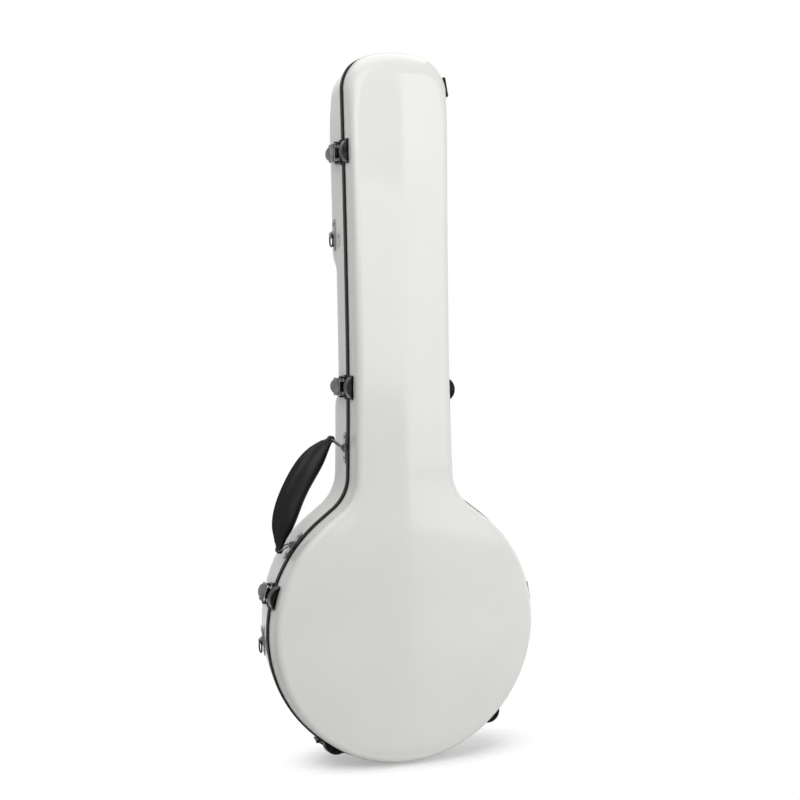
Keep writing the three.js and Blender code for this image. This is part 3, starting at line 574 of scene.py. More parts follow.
def pan(half, section, depths, rim_z, columns, lift):
    """Outer skin, inner skin, both closed ends and the rim between them, as one closed surface."""
    outer = rings(half, *section(half, depths[0], rim_z))
    inner = rings(half, *section(half, depths[1], rim_z))
    walls = np.concatenate((outer[::-1], inner))
    return together(skin(walls, ring=True), *[cap(end[-1], columns, lift) for end in (outer, inner)])


base_pan = pan(HALF, base_section, (0, WALL), BASE_RIM_Z, 2, flat)
lid_pan = pan(HALF, lid_section, (0, WALL), LID_RIM_Z, 64, crown)
base_shell = piece("base_gelcoat", base_pan, GELCOAT, "base", ["base_shell"], sharp=50)
lid_shell = piece("lid_gelcoat", lid_pan, GELCOAT, "lid", ["lid_shell"], sharp=50)
print("shell faces", len(base_shell.data.polygons), len(lid_shell.data.polygons))

# %% [markdown]
# ## The rubber joint
#
# A black rubber strip on the rim of the base closes the gap to the lid. Its ribs could be modelled one
# by one, but there are hundreds, so the strip gets a map that runs along the joint in metres, and the
# bump of its material follows it.

# %% Rubber joint
GASKET = ((-1.6, 93), (-1.6, 101.4), (-1.3, 102.4), (-0.5, 103), (3.6, 103), (3.6, 95.3), (-0.3, 95.3),
          (-0.3, 93), (-1.3, 92.9))
SINK, SINK_START, SINK_END = 2.6, 812, 836


def band(half, section):
    """The strip's section carried round. What stands out of the wall sinks in over the head's end."""
    section = np.array(section, float)
    sunk = (section[:, :1] < 0) * SINK * smooth(whole(half)[:, 1], SINK_START, SINK_END)
    return skin(rings(half, section[:, :1] + sunk, section[:, 1:]), loop=True, ring=True)


def seam_map(corner):
    """Along the joint and up, in metres: the arc length of the outline, repeated for each ring."""
    ring = whole(HALF)[:, :2]
    run = np.concatenate(((0,), np.cumsum(np.hypot(*np.diff(ring, axis=0).T)))) * MM
    number = corner % len(ring)
    along = run[number].reshape(-1, 4)
    seam = np.ptp(along, axis=1) > 0.5 * run[-1]
    along[seam] = np.where(along[seam] < 0.5 * run[-1], along[seam] + run[-1], along[seam])
    height = (corner // len(ring)) * MM
    return np.stack((along.ravel(), height), -1).astype(np.float32)


gasket = piece("rubber_joint", band(HALF, GASKET), RUBBER, "base", ["gasket"], sharp=50,
               uv=seam_map)
print("joint faces", len(gasket.data.polygons))

# %% [markdown]
# ## Inside the case
#
# Foam covered with plush lines both shells. The banjo's neck lies in a padded notch, and two padded
# walls with a lid make a small box for strings. The linings are pans like the shells. The blocks are
# outlines of the channel, pulled along the neck, with soft round edges from a wide bevel.

# %% Linings
GAP = 0.3
BASE_LINING, LID_LINING, LINING_DROP = 4.5, 4, 4
inside = right_half(0.4)
base_depths = (WALL + GAP, WALL + GAP + BASE_LINING)
lid_depths = (WALL + GAP, WALL + GAP + LID_LINING)
base_foam = pan(inside, base_section, base_depths, BASE_RIM_Z - LINING_DROP, 2, flat)
lid_foam = pan(inside, lid_section, lid_depths, LID_RIM_Z + LINING_DROP, 16, crown)
for body, foam in (("base", base_foam), ("lid", lid_foam)):
    piece(f"{body}_plush", foam, PLUSH, body, [f"{body}_lining"], sharp=50)

# %% Padded blocks
SIDE_GAP = 1
FLOOR = base_depths[1] + GAP


def channel(y, top, steps=12):
    """The lined channel's section at y: a flat floor, two quarter rounds and a top edge at a height."""
    floor = float(back_z(np.array(y))) + FLOOR
    half = float(neck_half_width(np.array(float(y))) - FLOOR - SIDE_GAP - lean(y) * (SEAM_Z - BASE_ROUND))
    radius = BASE_ROUND - FLOOR
    left = arc(radius - half, floor + radius, radius, 180, 270, steps)
    other = arc(half - radius, floor + radius, radius, 270, 360, steps)
    return np.vstack(((half, top), (-half, top), left, other))


def block(name, node, outline, start, stop, body="base", edge=2.5):
    piece(name, strip(outline, start, stop), PLUSH, body, [node], edge=edge)


WALL_TOP, BOX_START, BOX_STOP, BLOCK = 50, 250, 310, 8
for side, start in (("body", BOX_START), ("head", BOX_STOP - BLOCK)):
    block(f"plush_wall_{side}", f"compartment_{side}_wall", channel(start, WALL_TOP), start, start + BLOCK)

LID_LOW, LID_HALF, TAB_HALF_WIDTH, TAB_REACH = WALL_TOP + GAP, 60, 11, 7
block("plush_box_lid", "compartment_lid", rectangle(-LID_HALF, LID_HALF, LID_LOW, LID_LOW + 3.5), BOX_START,
      BOX_STOP - 1, "compartment_lid", 1.2)
tab = rectangle(-TAB_HALF_WIDTH, TAB_HALF_WIDTH, LID_LOW + 1, LID_LOW + 2.5)
piece("pull_tab", strip(tab, BOX_START - TAB_REACH, BOX_START + 2), LEATHER, "compartment_lid",
      edge=0.5)

CRADLE_Y, CRADLE_LENGTH, CRADLE_TOP = 430, 40, 84
NOTCH_FLOOR, NOTCH_FLOOR_HALF, NOTCH_TOP_HALF = CRADLE_TOP - 36, 24, 32
outline = channel(CRADLE_Y, CRADLE_TOP)
notch = ((NOTCH_TOP_HALF, CRADLE_TOP), (NOTCH_FLOOR_HALF, NOTCH_FLOOR), (-NOTCH_FLOOR_HALF, NOTCH_FLOOR),
         (-NOTCH_TOP_HALF, CRADLE_TOP))
block("plush_cradle", "neck_cradle", np.vstack((outline[:1], notch, outline[1:])), CRADLE_Y,
      CRADLE_Y + CRADLE_LENGTH, edge=3)

# %% [markdown]
# ## Places on the walls
#
# All the fittings are drawn once in the frame of a wall: x out of the wall, y along the joint and z
# towards the lid. A matrix carries them to each place and leans as the base's or the lid's wall does.

# %% Wall frames
def on_wall(place, z, angle, setback=0.0):
    """The frame of a wall that leans in by an angle, at a station of the outline."""
    x, y, out_x, out_y = place
    out = np.array((out_x, out_y, 0.0)) / math.hypot(out_x, out_y)
    upward, cosine, sine = np.array((0, 0, 1)), math.cos(angle), math.sin(angle)
    axes = (out * cosine - upward * sine, (-out[1], out[0], 0), out * sine + upward * cosine)
    return frame_of(axes, np.array((x, y, z)) - setback * out)


def base_wall(place):
    return on_wall(place, SEAM_Z, math.atan(lean(place[1])))


def lid_wall(place):
    return on_wall(place, LID_RIM_Z, -math.atan(LID_DRAFT), LID_SETBACK)


def neck_place(y, side):
    return neck_run(np.array([float(y)]))[0] * (side, 1, side, 1)


def body_place(angle):
    return round_run(0, 0, BODY_RADIUS, np.array([float(angle)]))[0]


LATCHES = {"upper_left": neck_place(695, -1), "middle_left": neck_place(355.5, -1),
           "middle_right": neck_place(348.3, 1), "body_left": body_place(163.3),
           "bottom_left": body_place(236.1), "bottom_right": body_place(-47.1)}

# %% [markdown]
# ## Latches
#
# A drawbolt latch has a lever that turns between two ears. A bar in the lever pulls a hook, and the
# hook reaches under the domed keeper on the lid. The lever has a bent lip, a ribbed face, a sunken furrow
# with a black strip in it that paints the furrow's shade, and a half-round tab that flares away from the
# case. Most pieces are outlines pulled straight.

# %% Latch parts
EARS, EAR, PIVOT_X, PIVOT_Z = 13.2, 1.3, 7, -13
BAR_X, BAR_Z = 4.5, -20
LIP_HALF, FACE_HALF, TAB_HALF = 11.6, 12.9, 10
LIP_END, GROOVE_START, TAB_START, TAB_LENGTH = -23.4, -33.8, -35, 10
LEVER_STAND, LEVER_SHEET, TAB_FLARE, TAB_DISH = 10.9, 1.3, 3.2, 0.5


def rivet(radius, height, x, y, z=0.0, steps=20):
    """A domed head that faces out of the wall: a quarter ellipse turned round."""
    turn = np.radians(np.linspace(0, 90, 7))
    dome = np.stack((radius * np.cos(turn), height * np.sin(turn)), -1)
    return moved(swapped(turned(np.vstack(((0, -0.4), (radius, -0.4), dome)), steps), OUTWARD), x, y, z)


def rod(radius, length, x, z, y=0.0):
    """A round bar along the joint with slightly round ends."""
    bar = tube(0, radius - 0.25, radius, -length / 2, length / 2, 0.25, 20)
    return moved(swapped(bar, ALONG), x, y, z)


def latch_base():
    """A plate, two ears with the ends of the pivot, and four rivets."""
    plate = slab(((-18.5, -7), (-14.8, -38), (14.8, -38), (18.5, -7)), 0.3, 1.6)
    ear_outline = np.vstack(((0.9, -9.4), (0.9, -33), (2.2, -33), arc(PIVOT_X, PIVOT_Z, 3.6, -60, 90, 14)))
    ears = [strip(ear_outline, side, side + EAR) for side in (EARS, -EARS - EAR)]
    pins = [rod(radius, length, PIVOT_X, PIVOT_Z, side * y)
            for radius, length, y in ((2.2, 1.0, EARS + 1.7), (1.7, 2.0, EARS - 0.7)) for side in (-1, 1)]
    places = ((-16.3, -10.5), (16.3, -10.5), (-10, -35.6), (10, -35.6))
    return together(plate, *ears, *pins, *[rivet(1.5, 0.9, 1.6, y, z) for y, z in places])


def lever_face(depth):
    """A bent plate, or its back at a depth: rows run from the lip to the tip of the tab.

    The half width is that of the lip, then of the face, then the chord of a circle. The lip leans in, the
    furrow before the tab is 1 deep, and the tab flares with the power 1.4 of the way along it and is
    dished."""
    down = np.concatenate(((-20.9, -22.1, LIP_END), np.linspace(-23.6, -33.6, 8), (-34, -34.8),
                           np.linspace(-35.2, -44.9, 22)))
    over = np.clip((TAB_START - down) / TAB_LENGTH, 0, 1)
    width = np.where(down > TAB_START, FACE_HALF, np.sqrt(np.clip(1 - over ** 2, 0.002, 1)) * TAB_HALF)
    width = np.where(down >= LIP_END, LIP_HALF, width)
    plate = LEVER_STAND - 0.9 * np.maximum(down - LIP_END, 0) - (down < GROOVE_START)
    stand = np.where(down > TAB_START, plate, LEVER_STAND - 0.4 + TAB_FLARE * over ** 1.4) - depth
    across = np.linspace(-1, 1, 21)
    dish = TAB_DISH * (1 - across ** 2) * np.sin(math.pi * over)[:, None]
    return np.stack((stand[:, None] - dish, width[:, None] * across, down[:, None] + 0 * across), -1)


def latch_lever():
    """The bent plate, two cheeks that turn on the pivot, the bar between them and four ribs."""
    front, behind = lever_face(0), lever_face(LEVER_SHEET)
    edges = [np.concatenate((side[0], side[1:, -1], side[-1, -2::-1], side[-2:0:-1, 0]))
             for side in (front, behind)]
    face = together(skin(front), skin(behind), skin(np.stack(edges), ring=True))
    cheek = np.vstack((arc(BAR_X, BAR_Z, 2.2, 180, 315, 12), ((10.25, -29.2), (LEVER_STAND, -23.5)),
                       arc(PIVOT_X, PIVOT_Z, 3.1, 0, 180, 14)))
    cheeks = [strip(cheek, low, high) for low, high in ((11.7, FACE_HALF), (-FACE_HALF, -11.7))]
    bar = rod(1.2, 24.6, BAR_X, BAR_Z)
    rib_outline = np.vstack(((10.6, -0.7), arc(11.0, 0, 0.75, -70, 70, 9), (10.6, 0.7)))
    ribs = [moved(strip(rib_outline, -11.2, 11.2), z=z) for z in (-24.6, -26.7, -28.8, -30.9)]
    return together(face, *cheeks, bar, *ribs)


def latch_hook():
    """A strap with a round end on the bar and a short claw that points back to the wall."""
    round_end = arc(BAR_X, BAR_Z, 2.55, 180, 360 + 108.3, 30)
    tip = arc(3.0, 9.7, 0.7, 0, 90, 6)
    return strip(np.vstack(((2.6, BAR_Z), round_end, (3.7, 9.6), tip, (1.3, 10.4), (1.3, 9.3), (2.6, 9.3))),
                 -7.5, 7.5)


def dome_outline(half_width, rise, stand, steps=40):
    """A segment of a circle that bulges out from a chord of the given half width."""
    radius = (half_width ** 2 + rise ** 2) / (2 * rise)
    half = math.degrees(math.asin(half_width / radius))
    return arc(stand + rise - radius, 0, radius, -half, half, steps)


def latch_keeper():
    """A domed cap, open towards the hook. Its walls are the ring between two segments of a circle."""
    low, high, sheet, bead_y = 1.2, 14.0, 1.3, 17.0
    outside, hollow = dome_outline(16.4, 10.1, GAP), dome_outline(15.2, 8.9, GAP)
    wall = prism(np.vstack((outside, hollow[::-1])), low, high - sheet + 0.01)
    lid = prism(outside, high - sheet, high)
    back = slab(rectangle(-17.6, 17.6, low, high), GAP, GAP + sheet)
    lip = slab(rectangle(-8.5, 8.5, 2.2, 4.2), GAP, GAP + 1.6)
    bead = turned(((0, 0), (0.5, 0), (0.5, 12), (0, 12)), 12)
    return together(wall, lid, back, lip, *[moved(bead, 1.5, y, 1.6) for y in (-bead_y, bead_y)])


# A black strip that fills the furrow before the tab: painted shade, so that the furrow shows as a dark
# line.
groove_shade_strip = slab(rectangle(-12.6, 12.6, -35.4, -33.9), 9.8, 11.2)
for name, place in LATCHES.items():
    wall = base_wall(place)
    node = f"latch_{name}"
    lever = f"lever_{name}"
    piece(f"{node}_plate", latch_base(), SMOKED, "base", [f"{node}_base"], 0.2, matrix=wall)
    piece(f"{node}_handle", latch_lever(), SATIN, lever, [f"{node}_lever"], 0.18, matrix=wall)
    piece(f"{node}_groove", groove_shade_strip, SMOKED, lever, matrix=wall)
    piece(f"{node}_bolt", latch_hook(), SMOKED, f"hook_{name}", [f"{node}_hook"], 0.2,
          matrix=wall)
    piece(f"{node}_dome", latch_keeper(), SMOKED, "lid", [f"{node}_keeper"], 0.3,
          matrix=lid_wall(place))
print("latches", len(LATCHES))

# %% [markdown]
# ## Hinges
#
# Both hinges lie on the one line that touches the body and the corner of the head, or the lid could not
# turn. Each has a leaf on the base with two knuckles, a leaf on the lid with one, and a pin. The leaves
# are thin sections pulled along the joint, and the knuckles are turned.

# %% Hinges
HINGE_X, HINGE_Z, HINGE_HALF, MIDDLE_HALF, LEAF = 4.4, 5.3, 13.5, 4.5, 1.2
between = math.hypot(corner_x, corner_y)
yaw = math.atan2(corner_y, corner_x) - math.acos((BODY_RADIUS - CORNER_RADIUS) / between)
out = np.array((math.cos(yaw), math.sin(yaw)))
HINGES = {"body": np.concatenate((BODY_RADIUS * out, out)),
          "head": np.concatenate((np.array((corner_x, corner_y)) + CORNER_RADIUS * out, out))}


def knuckle(start, stop):
    """A tube round the pin with slightly round ends."""
    return moved(swapped(tube(1.4, 2.4, 2.6, start, stop, 0.2), ALONG), HINGE_X, 0, HINGE_Z)


def base_leaf(y):
    """A leaf bent to the base's leaning wall, two tongues up to the pin, two knuckles and three rivets."""
    face = lambda z: GAP + lean(y) * z
    section = ((1.9, 0.4), (1.9, -5), (face(-6.65), -6.65), (face(-20), -20), (face(-20) + LEAF, -20),
               (face(-6.65) + LEAF, -7.25), (3.1, -5.6), (3.1, 0.4))
    ends = ((-HINGE_HALF, -MIDDLE_HALF - GAP), (MIDDLE_HALF + GAP, HINGE_HALF))
    tongues = [strip(rectangle(1.9, 3.1, 0.3, HINGE_Z), *end) for end in ends]
    heads = [rivet(1.6, 0.8, face(-13.5) + LEAF, along, -13.5) for along in (-9, 0, 9)]
    plate = strip(section, -HINGE_HALF, HINGE_HALF)
    return together(plate, *tongues, *[knuckle(*end) for end in ends], *heads)


def lid_leaf():
    """A leaf on the lid's leaning wall, with an arm and the knuckle between the base's two."""
    face = lambda z: GAP - LID_SETBACK - LID_DRAFT * (z + SEAM_Z - LID_RIM_Z)
    section = ((face(6.2), 6.2), (face(6.2) + LEAF, 6.2), (face(19.8) + LEAF, 19.8), (face(19.8), 19.8))
    arm = strip(rectangle(face(6.2), HINGE_X, 6.2, 7.4), -MIDDLE_HALF, MIDDLE_HALF)
    heads = [rivet(1.6, 0.8, face(13.8) + LEAF, y, 13.8) for y in (-9, 0, 9)]
    plate = strip(section, -HINGE_HALF, HINGE_HALF)
    return together(plate, arm, knuckle(-MIDDLE_HALF, MIDDLE_HALF), *heads)


buttons = [rod(1.7, 0.8, HINGE_X, HINGE_Z, y) for y in (-14.2, 14.2)]
pin = together(rod(1.1, 29.2, HINGE_X, HINGE_Z), *buttons)
for name, place in HINGES.items():
    for ending, part, finish, body, stands_for, edge in (
            ("lower", base_leaf(place[1]), SMOKED, "base", "base_leaf", 0.15),
            ("upper", lid_leaf(), SMOKED, "lid", "lid_leaf", 0.15),
            ("spindle", pin, STEEL, "base", "pin", 0.0)):
        piece(f"hinge_{name}_{ending}", part, finish, body, [f"hinge_{name}_{stands_for}"],
              edge, matrix=on_wall(place, SEAM_Z, 0))
print("hinges", list(HINGES))

# %% [markdown]
# ## Loop plates
#
# The handle and the strap rings hang on the same long plates with round ends, a dark screw at each end
# and a raised loop in the middle, which is a pressed lug with a hole for the wire.

# %% Loop plates
HANDLE_DROP, STRAP_DROP = 14, 53
LOOP_TOP, LOOP_SHEET, LOOP_HALF = 8.2, 1.5, 2.5


def screw(y):
    """A screw's head: a shallow dome, and two thin bars for the cross in it."""
    bars = [slab(rectangle(y - wide, y + wide, -high, high), 2.28, 2.52)
            for wide, high in ((1.5, 0.3), (0.3, 1.5))]
    return together(rivet(2.7, 0.55, 1.85, y, 0, 28), *bars)


def loop_plate():
    """A long plate with round ends, and the lug as an outline and its mirror image."""
    outline = np.vstack((arc(18, 0, 5, -90, 90, 20), arc(-18, 0, 5, 90, 270, 20)))
    under, middle = LOOP_TOP - LOOP_SHEET, -0.005
    half = np.array(((1.1, -8), (LOOP_TOP, -2.4), (LOOP_TOP, middle), (under, middle), (under, -1.45),
                     (3.7, -1.5), (3.7, middle), (1.1, middle)))
    lugs = [prism(half * (1, side), -LOOP_HALF, LOOP_HALF) for side in (1, -1)]
    return together(slab(outline, 0.3, 1.9), *lugs)


PLATES = {"handle_plate_upper": (neck_place(hollow_y + 39.1, -1), HANDLE_DROP),
          "handle_plate_lower": (body_place(141.4), HANDLE_DROP),
          "strap_plate_upper": (neck_place(578.6, -1), STRAP_DROP),
          "strap_plate_lower": (body_place(185.1), STRAP_DROP)}
for node, (place, drop) in PLATES.items():
    wall = base_wall(place)
    screws = together(screw(15.5), screw(-15.5))
    piece(f"{node}_metal", moved(loop_plate(), z=-drop), STEEL, "base", [node], 0.25, matrix=wall)
    piece(f"{node}_screws", moved(screws, z=-drop), SCREW, "base", edge=0.08, matrix=wall)
print("plates", list(PLATES))

# %% [markdown]
# ## Wire links and rings
#
# Each link is one wire bent to a closed loop. A circle is carried along the loop's centre line; at
# each point the circle stands square to the line, so the wire keeps its thickness round the bends.

# %% Wires
WIRE = 1.2
WIRE_STAND = LOOP_TOP - LOOP_SHEET - WIRE - GAP


def wire_loop(length, far_radius, steps=14):
    """A wire along a rectangle with round corners in the x-z plane. Its bar at x = 0 is in the plate."""
    near, half = 2.4, 7.2
    line = np.vstack((arc(length - far_radius, half - far_radius, far_radius, 0, 90, 14),
                      arc(near, half - near, near, 90, 180, 10), arc(near, near - half, near, 180, 270, 10),
                      arc(length - far_radius, far_radius - half, far_radius, 270, 360, 14)))
    line = line[np.hypot(*(line - np.roll(line, 1, 0)).T) > 0.01]
    ahead = np.roll(line, -1, 0) - np.roll(line, 1, 0)
    ahead /= np.hypot(*ahead.T)[:, None]
    square = np.stack((ahead[:, 1], -ahead[:, 0]), -1)
    turn = np.arange(steps) * math.tau / steps
    grid = np.empty((len(line), steps, 3))
    grid[..., 0] = line[:, :1] + WIRE * np.cos(turn) * square[:, :1]
    grid[..., 1] = WIRE * np.sin(turn)
    grid[..., 2] = line[:, 1:] + WIRE * np.cos(turn) * square[:, 1:]
    return skin(grid, loop=True, ring=True)


def eye_of(node):
    """Where the wire's bar lies in the loop of a plate."""
    place, drop = PLATES[node]
    return (base_wall(place) @ np.array((WIRE_STAND, 0, -drop, 1)))[:3]


def turned_at(point, degrees):
    """The frame of a link, turned from that of the case in the x-y plane."""
    cosine, sine = math.cos(math.radians(degrees)), math.sin(math.radians(degrees))
    return frame_of(((cosine, sine, 0), (-sine, cosine, 0), (0, 0, 1)), point)


UPPER_LINK, LOWER_LINK = (21.3, 141.7), (19.2, 205.9)
upper_eye, lower_eye = eye_of("handle_plate_upper"), eye_of("handle_plate_lower")
for name, eye, (length, degrees) in (("upper", upper_eye, UPPER_LINK), ("lower", lower_eye, LOWER_LINK)):
    piece(f"handle_wire_{name}", wire_loop(length, 2.4), NICKEL, f"handle_{name}", [f"handle_link_{name}"],
          sharp=80, matrix=turned_at(eye, degrees))
for name in ("upper", "lower"):
    piece(f"strap_wire_{name}", wire_loop(17, 7.2), SMOKED, f"strap_ring_{name}", [f"strap_ring_{name}"],
          sharp=80, matrix=turned_at(eye_of(f"strap_plate_{name}"), -90))

# %% [markdown]
# ## The handle grip
#
# The grip is leather round a soft core. Two leather skins meet in a flat stitched edge on its outer
# side, and each end narrows to a small roll round its wire. An oval is carried along a bowed centre line
# between the rolls, and it swells and thins by two smooth curves.

# %% Grip
def along(point, length, degrees):
    """The point at a distance from another, in a direction of the x-y plane."""
    turn = math.radians(degrees)
    return point + length * np.array((math.cos(turn), math.sin(turn), 0))


upper_roll, lower_roll = along(upper_eye, *UPPER_LINK), along(lower_eye, *LOWER_LINK)
WIDTHS = (0.23, 0.53, 0.8, 0.94, 0.99, 1, 1, 1, 0.99, 0.93, 0.78, 0.47, 0.24)
DEPTHS = (0.34, 0.4, 0.62, 0.85, 0.97, 1, 1, 1, 0.97, 0.85, 0.62, 0.4, 0.34)
BOW, GRIP_HALF_WIDTH, GRIP_HALF_DEPTH = 16.6, 19, 12
chord = (lower_roll - upper_roll) / np.linalg.norm(lower_roll - upper_roll)
away = np.array((chord[1], -chord[0], 0))


def eased(table, share):
    """A table of equal steps, read between its entries by cubic curves that pass through all of them."""
    table = np.array(table)
    place = share * (len(table) - 1)
    low = np.clip(place.astype(int), 0, len(table) - 2)
    part = place - low
    before, after = table[np.maximum(low - 1, 0)], table[np.minimum(low + 2, len(table) - 1)]
    first, second = table[low], table[low + 1]
    return 0.5 * (2 * first + (second - before) * part
                  + (2 * before - 5 * first + 4 * second - after) * part ** 2
                  + (3 * first - before - 3 * second + after) * part ** 3)


def grip_line(share):
    """The bowed centre line and its side direction: a curve with one control point beside the chord."""
    share = share[:, None]
    middle = (upper_roll + lower_roll) / 2 + 2 * BOW * away
    point = (1 - share) ** 2 * upper_roll + 2 * share * (1 - share) * middle + share ** 2 * lower_roll
    ahead = (1 - share) * (middle - upper_roll) + share * (lower_roll - middle)
    ahead /= np.linalg.norm(ahead, axis=1)[:, None]
    return point, np.stack((ahead[:, 1], -ahead[:, 0], 0 * ahead[:, 0]), -1)


def grip_skin(rows=120, sides=72):
    """The oval carried along the centre line. It thins in depth towards the stitched edge."""
    share = np.linspace(0, 1, rows)
    point, side = grip_line(share)
    turn = np.arange(sides) * math.tau / sides
    width = GRIP_HALF_WIDTH * eased(WIDTHS, share)[:, None] * np.cos(turn)
    depth = GRIP_HALF_DEPTH * eased(DEPTHS, share)[:, None] * np.sin(turn)
    swell = 1 - 0.28 * np.exp(-((np.cos(turn) - 0.93) / 0.09) ** 2)
    grid = point[:, None] + width[..., None] * side[:, None]
    grid[..., 2] += depth * swell
    ends = np.concatenate((grid[:1].mean(1, keepdims=True) + 0 * grid[:1], grid,
                           grid[-1:].mean(1, keepdims=True) + 0 * grid[-1:]))
    return skin(ends, ring=True)


def grip_welt(rows=120):
    """The flat edge where both skins are sewn: a thin strip along the outer side of the grip."""
    share = np.linspace(0.05, 0.95, rows)
    point, side = grip_line(share)
    reach = GRIP_HALF_WIDTH * eased(WIDTHS, share)
    fade = np.sqrt(np.clip(np.sin(math.pi * share), 0, 1))[:, None]
    section = np.array(((-4.5, -1.3), (-1.2, -1.15), (0.9, -1.0), (1.2, -0.5), (1.2, 0.5), (0.9, 1.0),
                        (-1.2, 1.15), (-4.5, 1.3)))
    out = reach[:, None] + section[:, 0] * (0.4 + 0.6 * fade)
    grid = point[:, None] + out[..., None] * side[:, None]
    grid[..., 2] += section[:, 1] * (0.5 + 0.5 * fade)
    last = len(grid) * len(section)
    points, faces = skin(grid, ring=True)
    return points, faces + [list(range(len(section)))[::-1], list(range(last - len(section), last))]


def stitches(count=58, steps=6):
    """Short threads on both faces of the stitched edge: a bow of a few rings, repeated along it."""
    share = np.linspace(0.08, 0.92, count)
    point, side = grip_line(share)
    nearby, _ = grip_line(share + 0.001)
    ahead = (nearby - point) / np.linalg.norm(nearby - point, axis=1)[:, None]
    reach = GRIP_HALF_WIDTH * eased(WIDTHS, share)
    run = np.linspace(-1, 1, 5)
    turn = np.arange(steps) * math.tau / steps
    parts = []
    for face in (-1, 1):
        middle = point + (reach - 1.5)[:, None] * side
        centre = middle[:, None] + 0.95 * run[:, None] * ahead[:, None]
        centre[..., 2] += face * (1.15 + 0.35 * (1 - run ** 2))
        thick = 0.32 * np.sqrt(1.02 - run ** 2 * 0.8)
        ring = centre[:, :, None] + thick[:, None, None] * np.cos(turn)[:, None] * side[:, None, None]
        ring[..., 2] += thick[:, None] * np.sin(turn)
        parts += [skin(stitch, ring=True) for stitch in ring]
    return together(*parts)


def roll(centre, inner, half=4.7):
    """An end of the grip: a short tube round its wire."""
    return moved(tube(inner, 4.6, 5.0, -half, half, 0.5, 32), *centre)


grip = piece("grip_leather", together(grip_skin(), grip_welt()), LEATHER, "handle_grip", ["handle_grip"],
             sharp=60)
piece("grip_rolls", together(roll(upper_roll, 1.6), roll(lower_roll, 2.4)), LEATHER, "handle_grip",
      sharp=50)
piece("grip_stitches", stitches(), THREAD, "handle_grip", sharp=80)
print("grip from", np.round(upper_roll, 1), "to", np.round(lower_roll, 1))

# %% [markdown]
# ## Studio
#
# The room is plain white to the camera and in mirrored rays, and weaker as soft light, so that the white
# case still shows its form. The crowned lid mirrors what stands on the right: a tall panel in two parts,
# the upper one brighter, and two strips that make the band across the neck. A panel at the upper left
# lights the neck, a weak one opens the shade low on the left, and one overhead lights the floor. The
# floor is a sheet below the round end that keeps the soft shadow and fades out.

# %% Studio
PANELS = {  # how bright it looks, its middle, what it faces, its width and its height, in metres
    "upper_left": (1.9, (-0.45, 0.95, 0.75), (0, 0.55, 0.1), (0.85, 0.85)),
    "right_lower": (0.95, (1.25, -0.9, 2.0), (1.25, -0.9, 0.0), (1.1, 1.8)),
    "right_upper": (2.5, (1.25, 0.8, 2.0), (1.25, 0.8, 0.0), (1.1, 1.6)),
    "strip_narrow": (1.8, (0.8, 0.42, 2.0), (0.8, 0.42, 0.0), (1.4, 0.36)),
    "strip_wide": (1.75, (0.8, 0.53, 2.0), (0.8, 0.53, 0.0), (1.4, 0.58)),
    "low_left": (0.45, (-0.6, -0.08, 0.6), (0, -0.1, 0.1), (0.5, 0.24)),
    "right_side": (1.2, (1.6, 0.35, 0.5), (0, 0.35, 0.1), (1.0, 1.8)),
    "overhead": (1.5, (0.0, 5.0, -0.9), (0, 0, 0.0), (7.0, 5.0)),
}
ROOM_LEVEL = 0.16


def panel(name, level, place, aim, size):
    """A lamp's power is how bright it looks times pi times its area."""
    way = np.array(place, float) - np.array(aim, float)
    way /= np.linalg.norm(way)
    across = np.cross((0, 1, 0.001), way)
    across /= np.linalg.norm(across)
    light = bpy.data.lights.new(name, "AREA")
    stand(name, light, frame_of((across, np.cross(way, across), way), place))
    light.shape, light.size, light.size_y = "RECTANGLE", size[0], size[1]
    light.energy = level * math.pi * size[0] * size[1]


for name, settings in PANELS.items():
    panel(name, *settings)

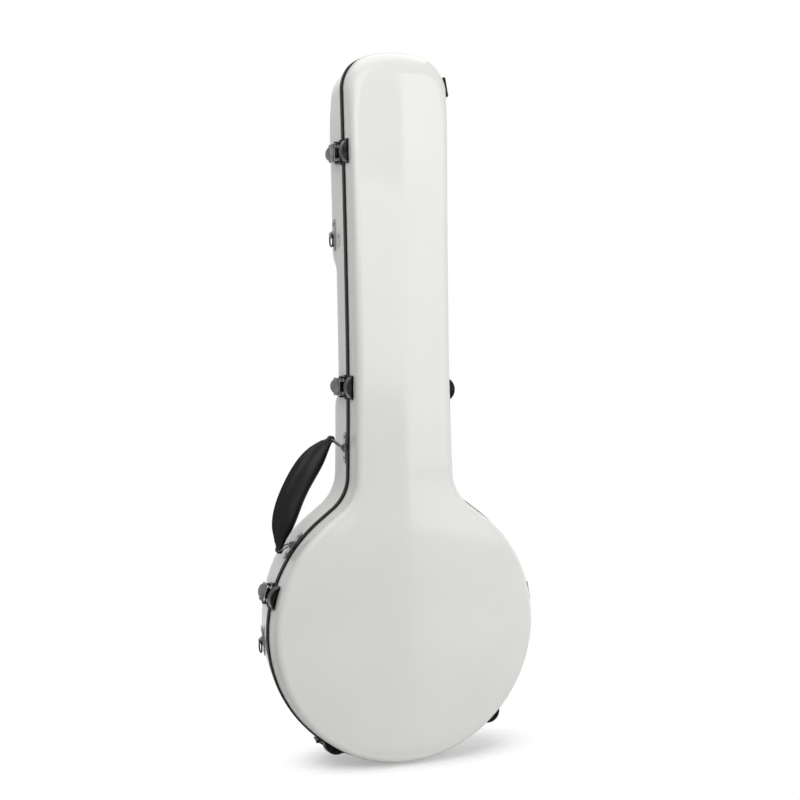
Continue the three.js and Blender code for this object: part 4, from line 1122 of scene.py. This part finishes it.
world = bpy.data.worlds.new("white_room")
bpy.context.scene.world = world
world.use_nodes = True
room = Nodes(world.node_tree)
shown = room.node("ShaderNodeLightPath", output="Is Camera Ray")
for ray in ("Is Glossy Ray", "Is Transmission Ray"):
    other = room.node("ShaderNodeLightPath", output=ray)
    shown = room.node("ShaderNodeMath", {"operation": "MAXIMUM"}, {0: shown, 1: other})
strength = room.node("ShaderNodeMapRange", {}, {"Value": shown, "To Min": ROOM_LEVEL, "To Max": 1.0})
for key, value in (("Strength", strength), ("Color", grey(1.0))):
    room.plug(room.tree.nodes["Background"], key, value)

FLOOR_REACH, FLOOR_MIDDLE = 1.6, 0.07
SHADOW_MIDDLE, SHADOW_HALF = np.array((0.03, 0, 0.06)), np.array((0.19, 1, 0.095))


def floor():
    """A square sheet below the round end, clear from below, that fades out with the distance.

    The distance is counted in sizes of the shadow's oval. The sheet fades soon as the camera sees it, so
    that the shadow lies on plain white, and later as light meets it."""
    y = cad_box[0][1] - 0.1 * MM
    square = rectangle(-FLOOR_REACH, FLOOR_REACH, FLOOR_MIDDLE + FLOOR_REACH, FLOOR_MIDDLE - FLOOR_REACH)
    mesh = bpy.data.meshes.new("floor")
    mesh.from_pydata([(x, y, z) for x, z in square], [], [(0, 1, 2, 3)])
    finish = Finish("floor_white", roughness=0.6, specular_ior_level=0.2, emission_strength=1.0)
    looked_at = finish.node("ShaderNodeLightPath", output="Is Camera Ray")
    finish.set(base_color=finish.blend(looked_at, grey(0.75), grey(0.62)),
               emission_color=finish.blend(looked_at, grey(0.0), grey(0.35)))
    scale = (1, 0, 1) / SHADOW_HALF
    oval = {"Vector": finish.place(), "Scale": tuple(scale), "Location": tuple(-SHADOW_MIDDLE * scale)}
    spot = finish.node("ShaderNodeMapping", {}, oval)
    far = finish.node("ShaderNodeVectorMath", {"operation": "LENGTH"}, {0: spot}, "Value")
    late = finish.step(far, 1.5, 9.0)
    fade = late + looked_at * (finish.step(far, 0.6, 1.15) - late)
    below = finish.node("ShaderNodeNewGeometry", output="Backfacing")
    away = finish.node("ShaderNodeMath", {"operation": "MAXIMUM"}, {0: fade, 1: below})
    surface, clear = Value(finish, finish.shader.outputs[0]), finish.node("ShaderNodeBsdfTransparent")
    mixed = finish.node("ShaderNodeMixShader", {}, {0: away, 1: surface, 2: clear})
    finish.tree.links.new(mixed.socket, finish.output.inputs["Surface"])
    mesh.materials.append(finish.material)
    stand("floor", mesh)


floor()
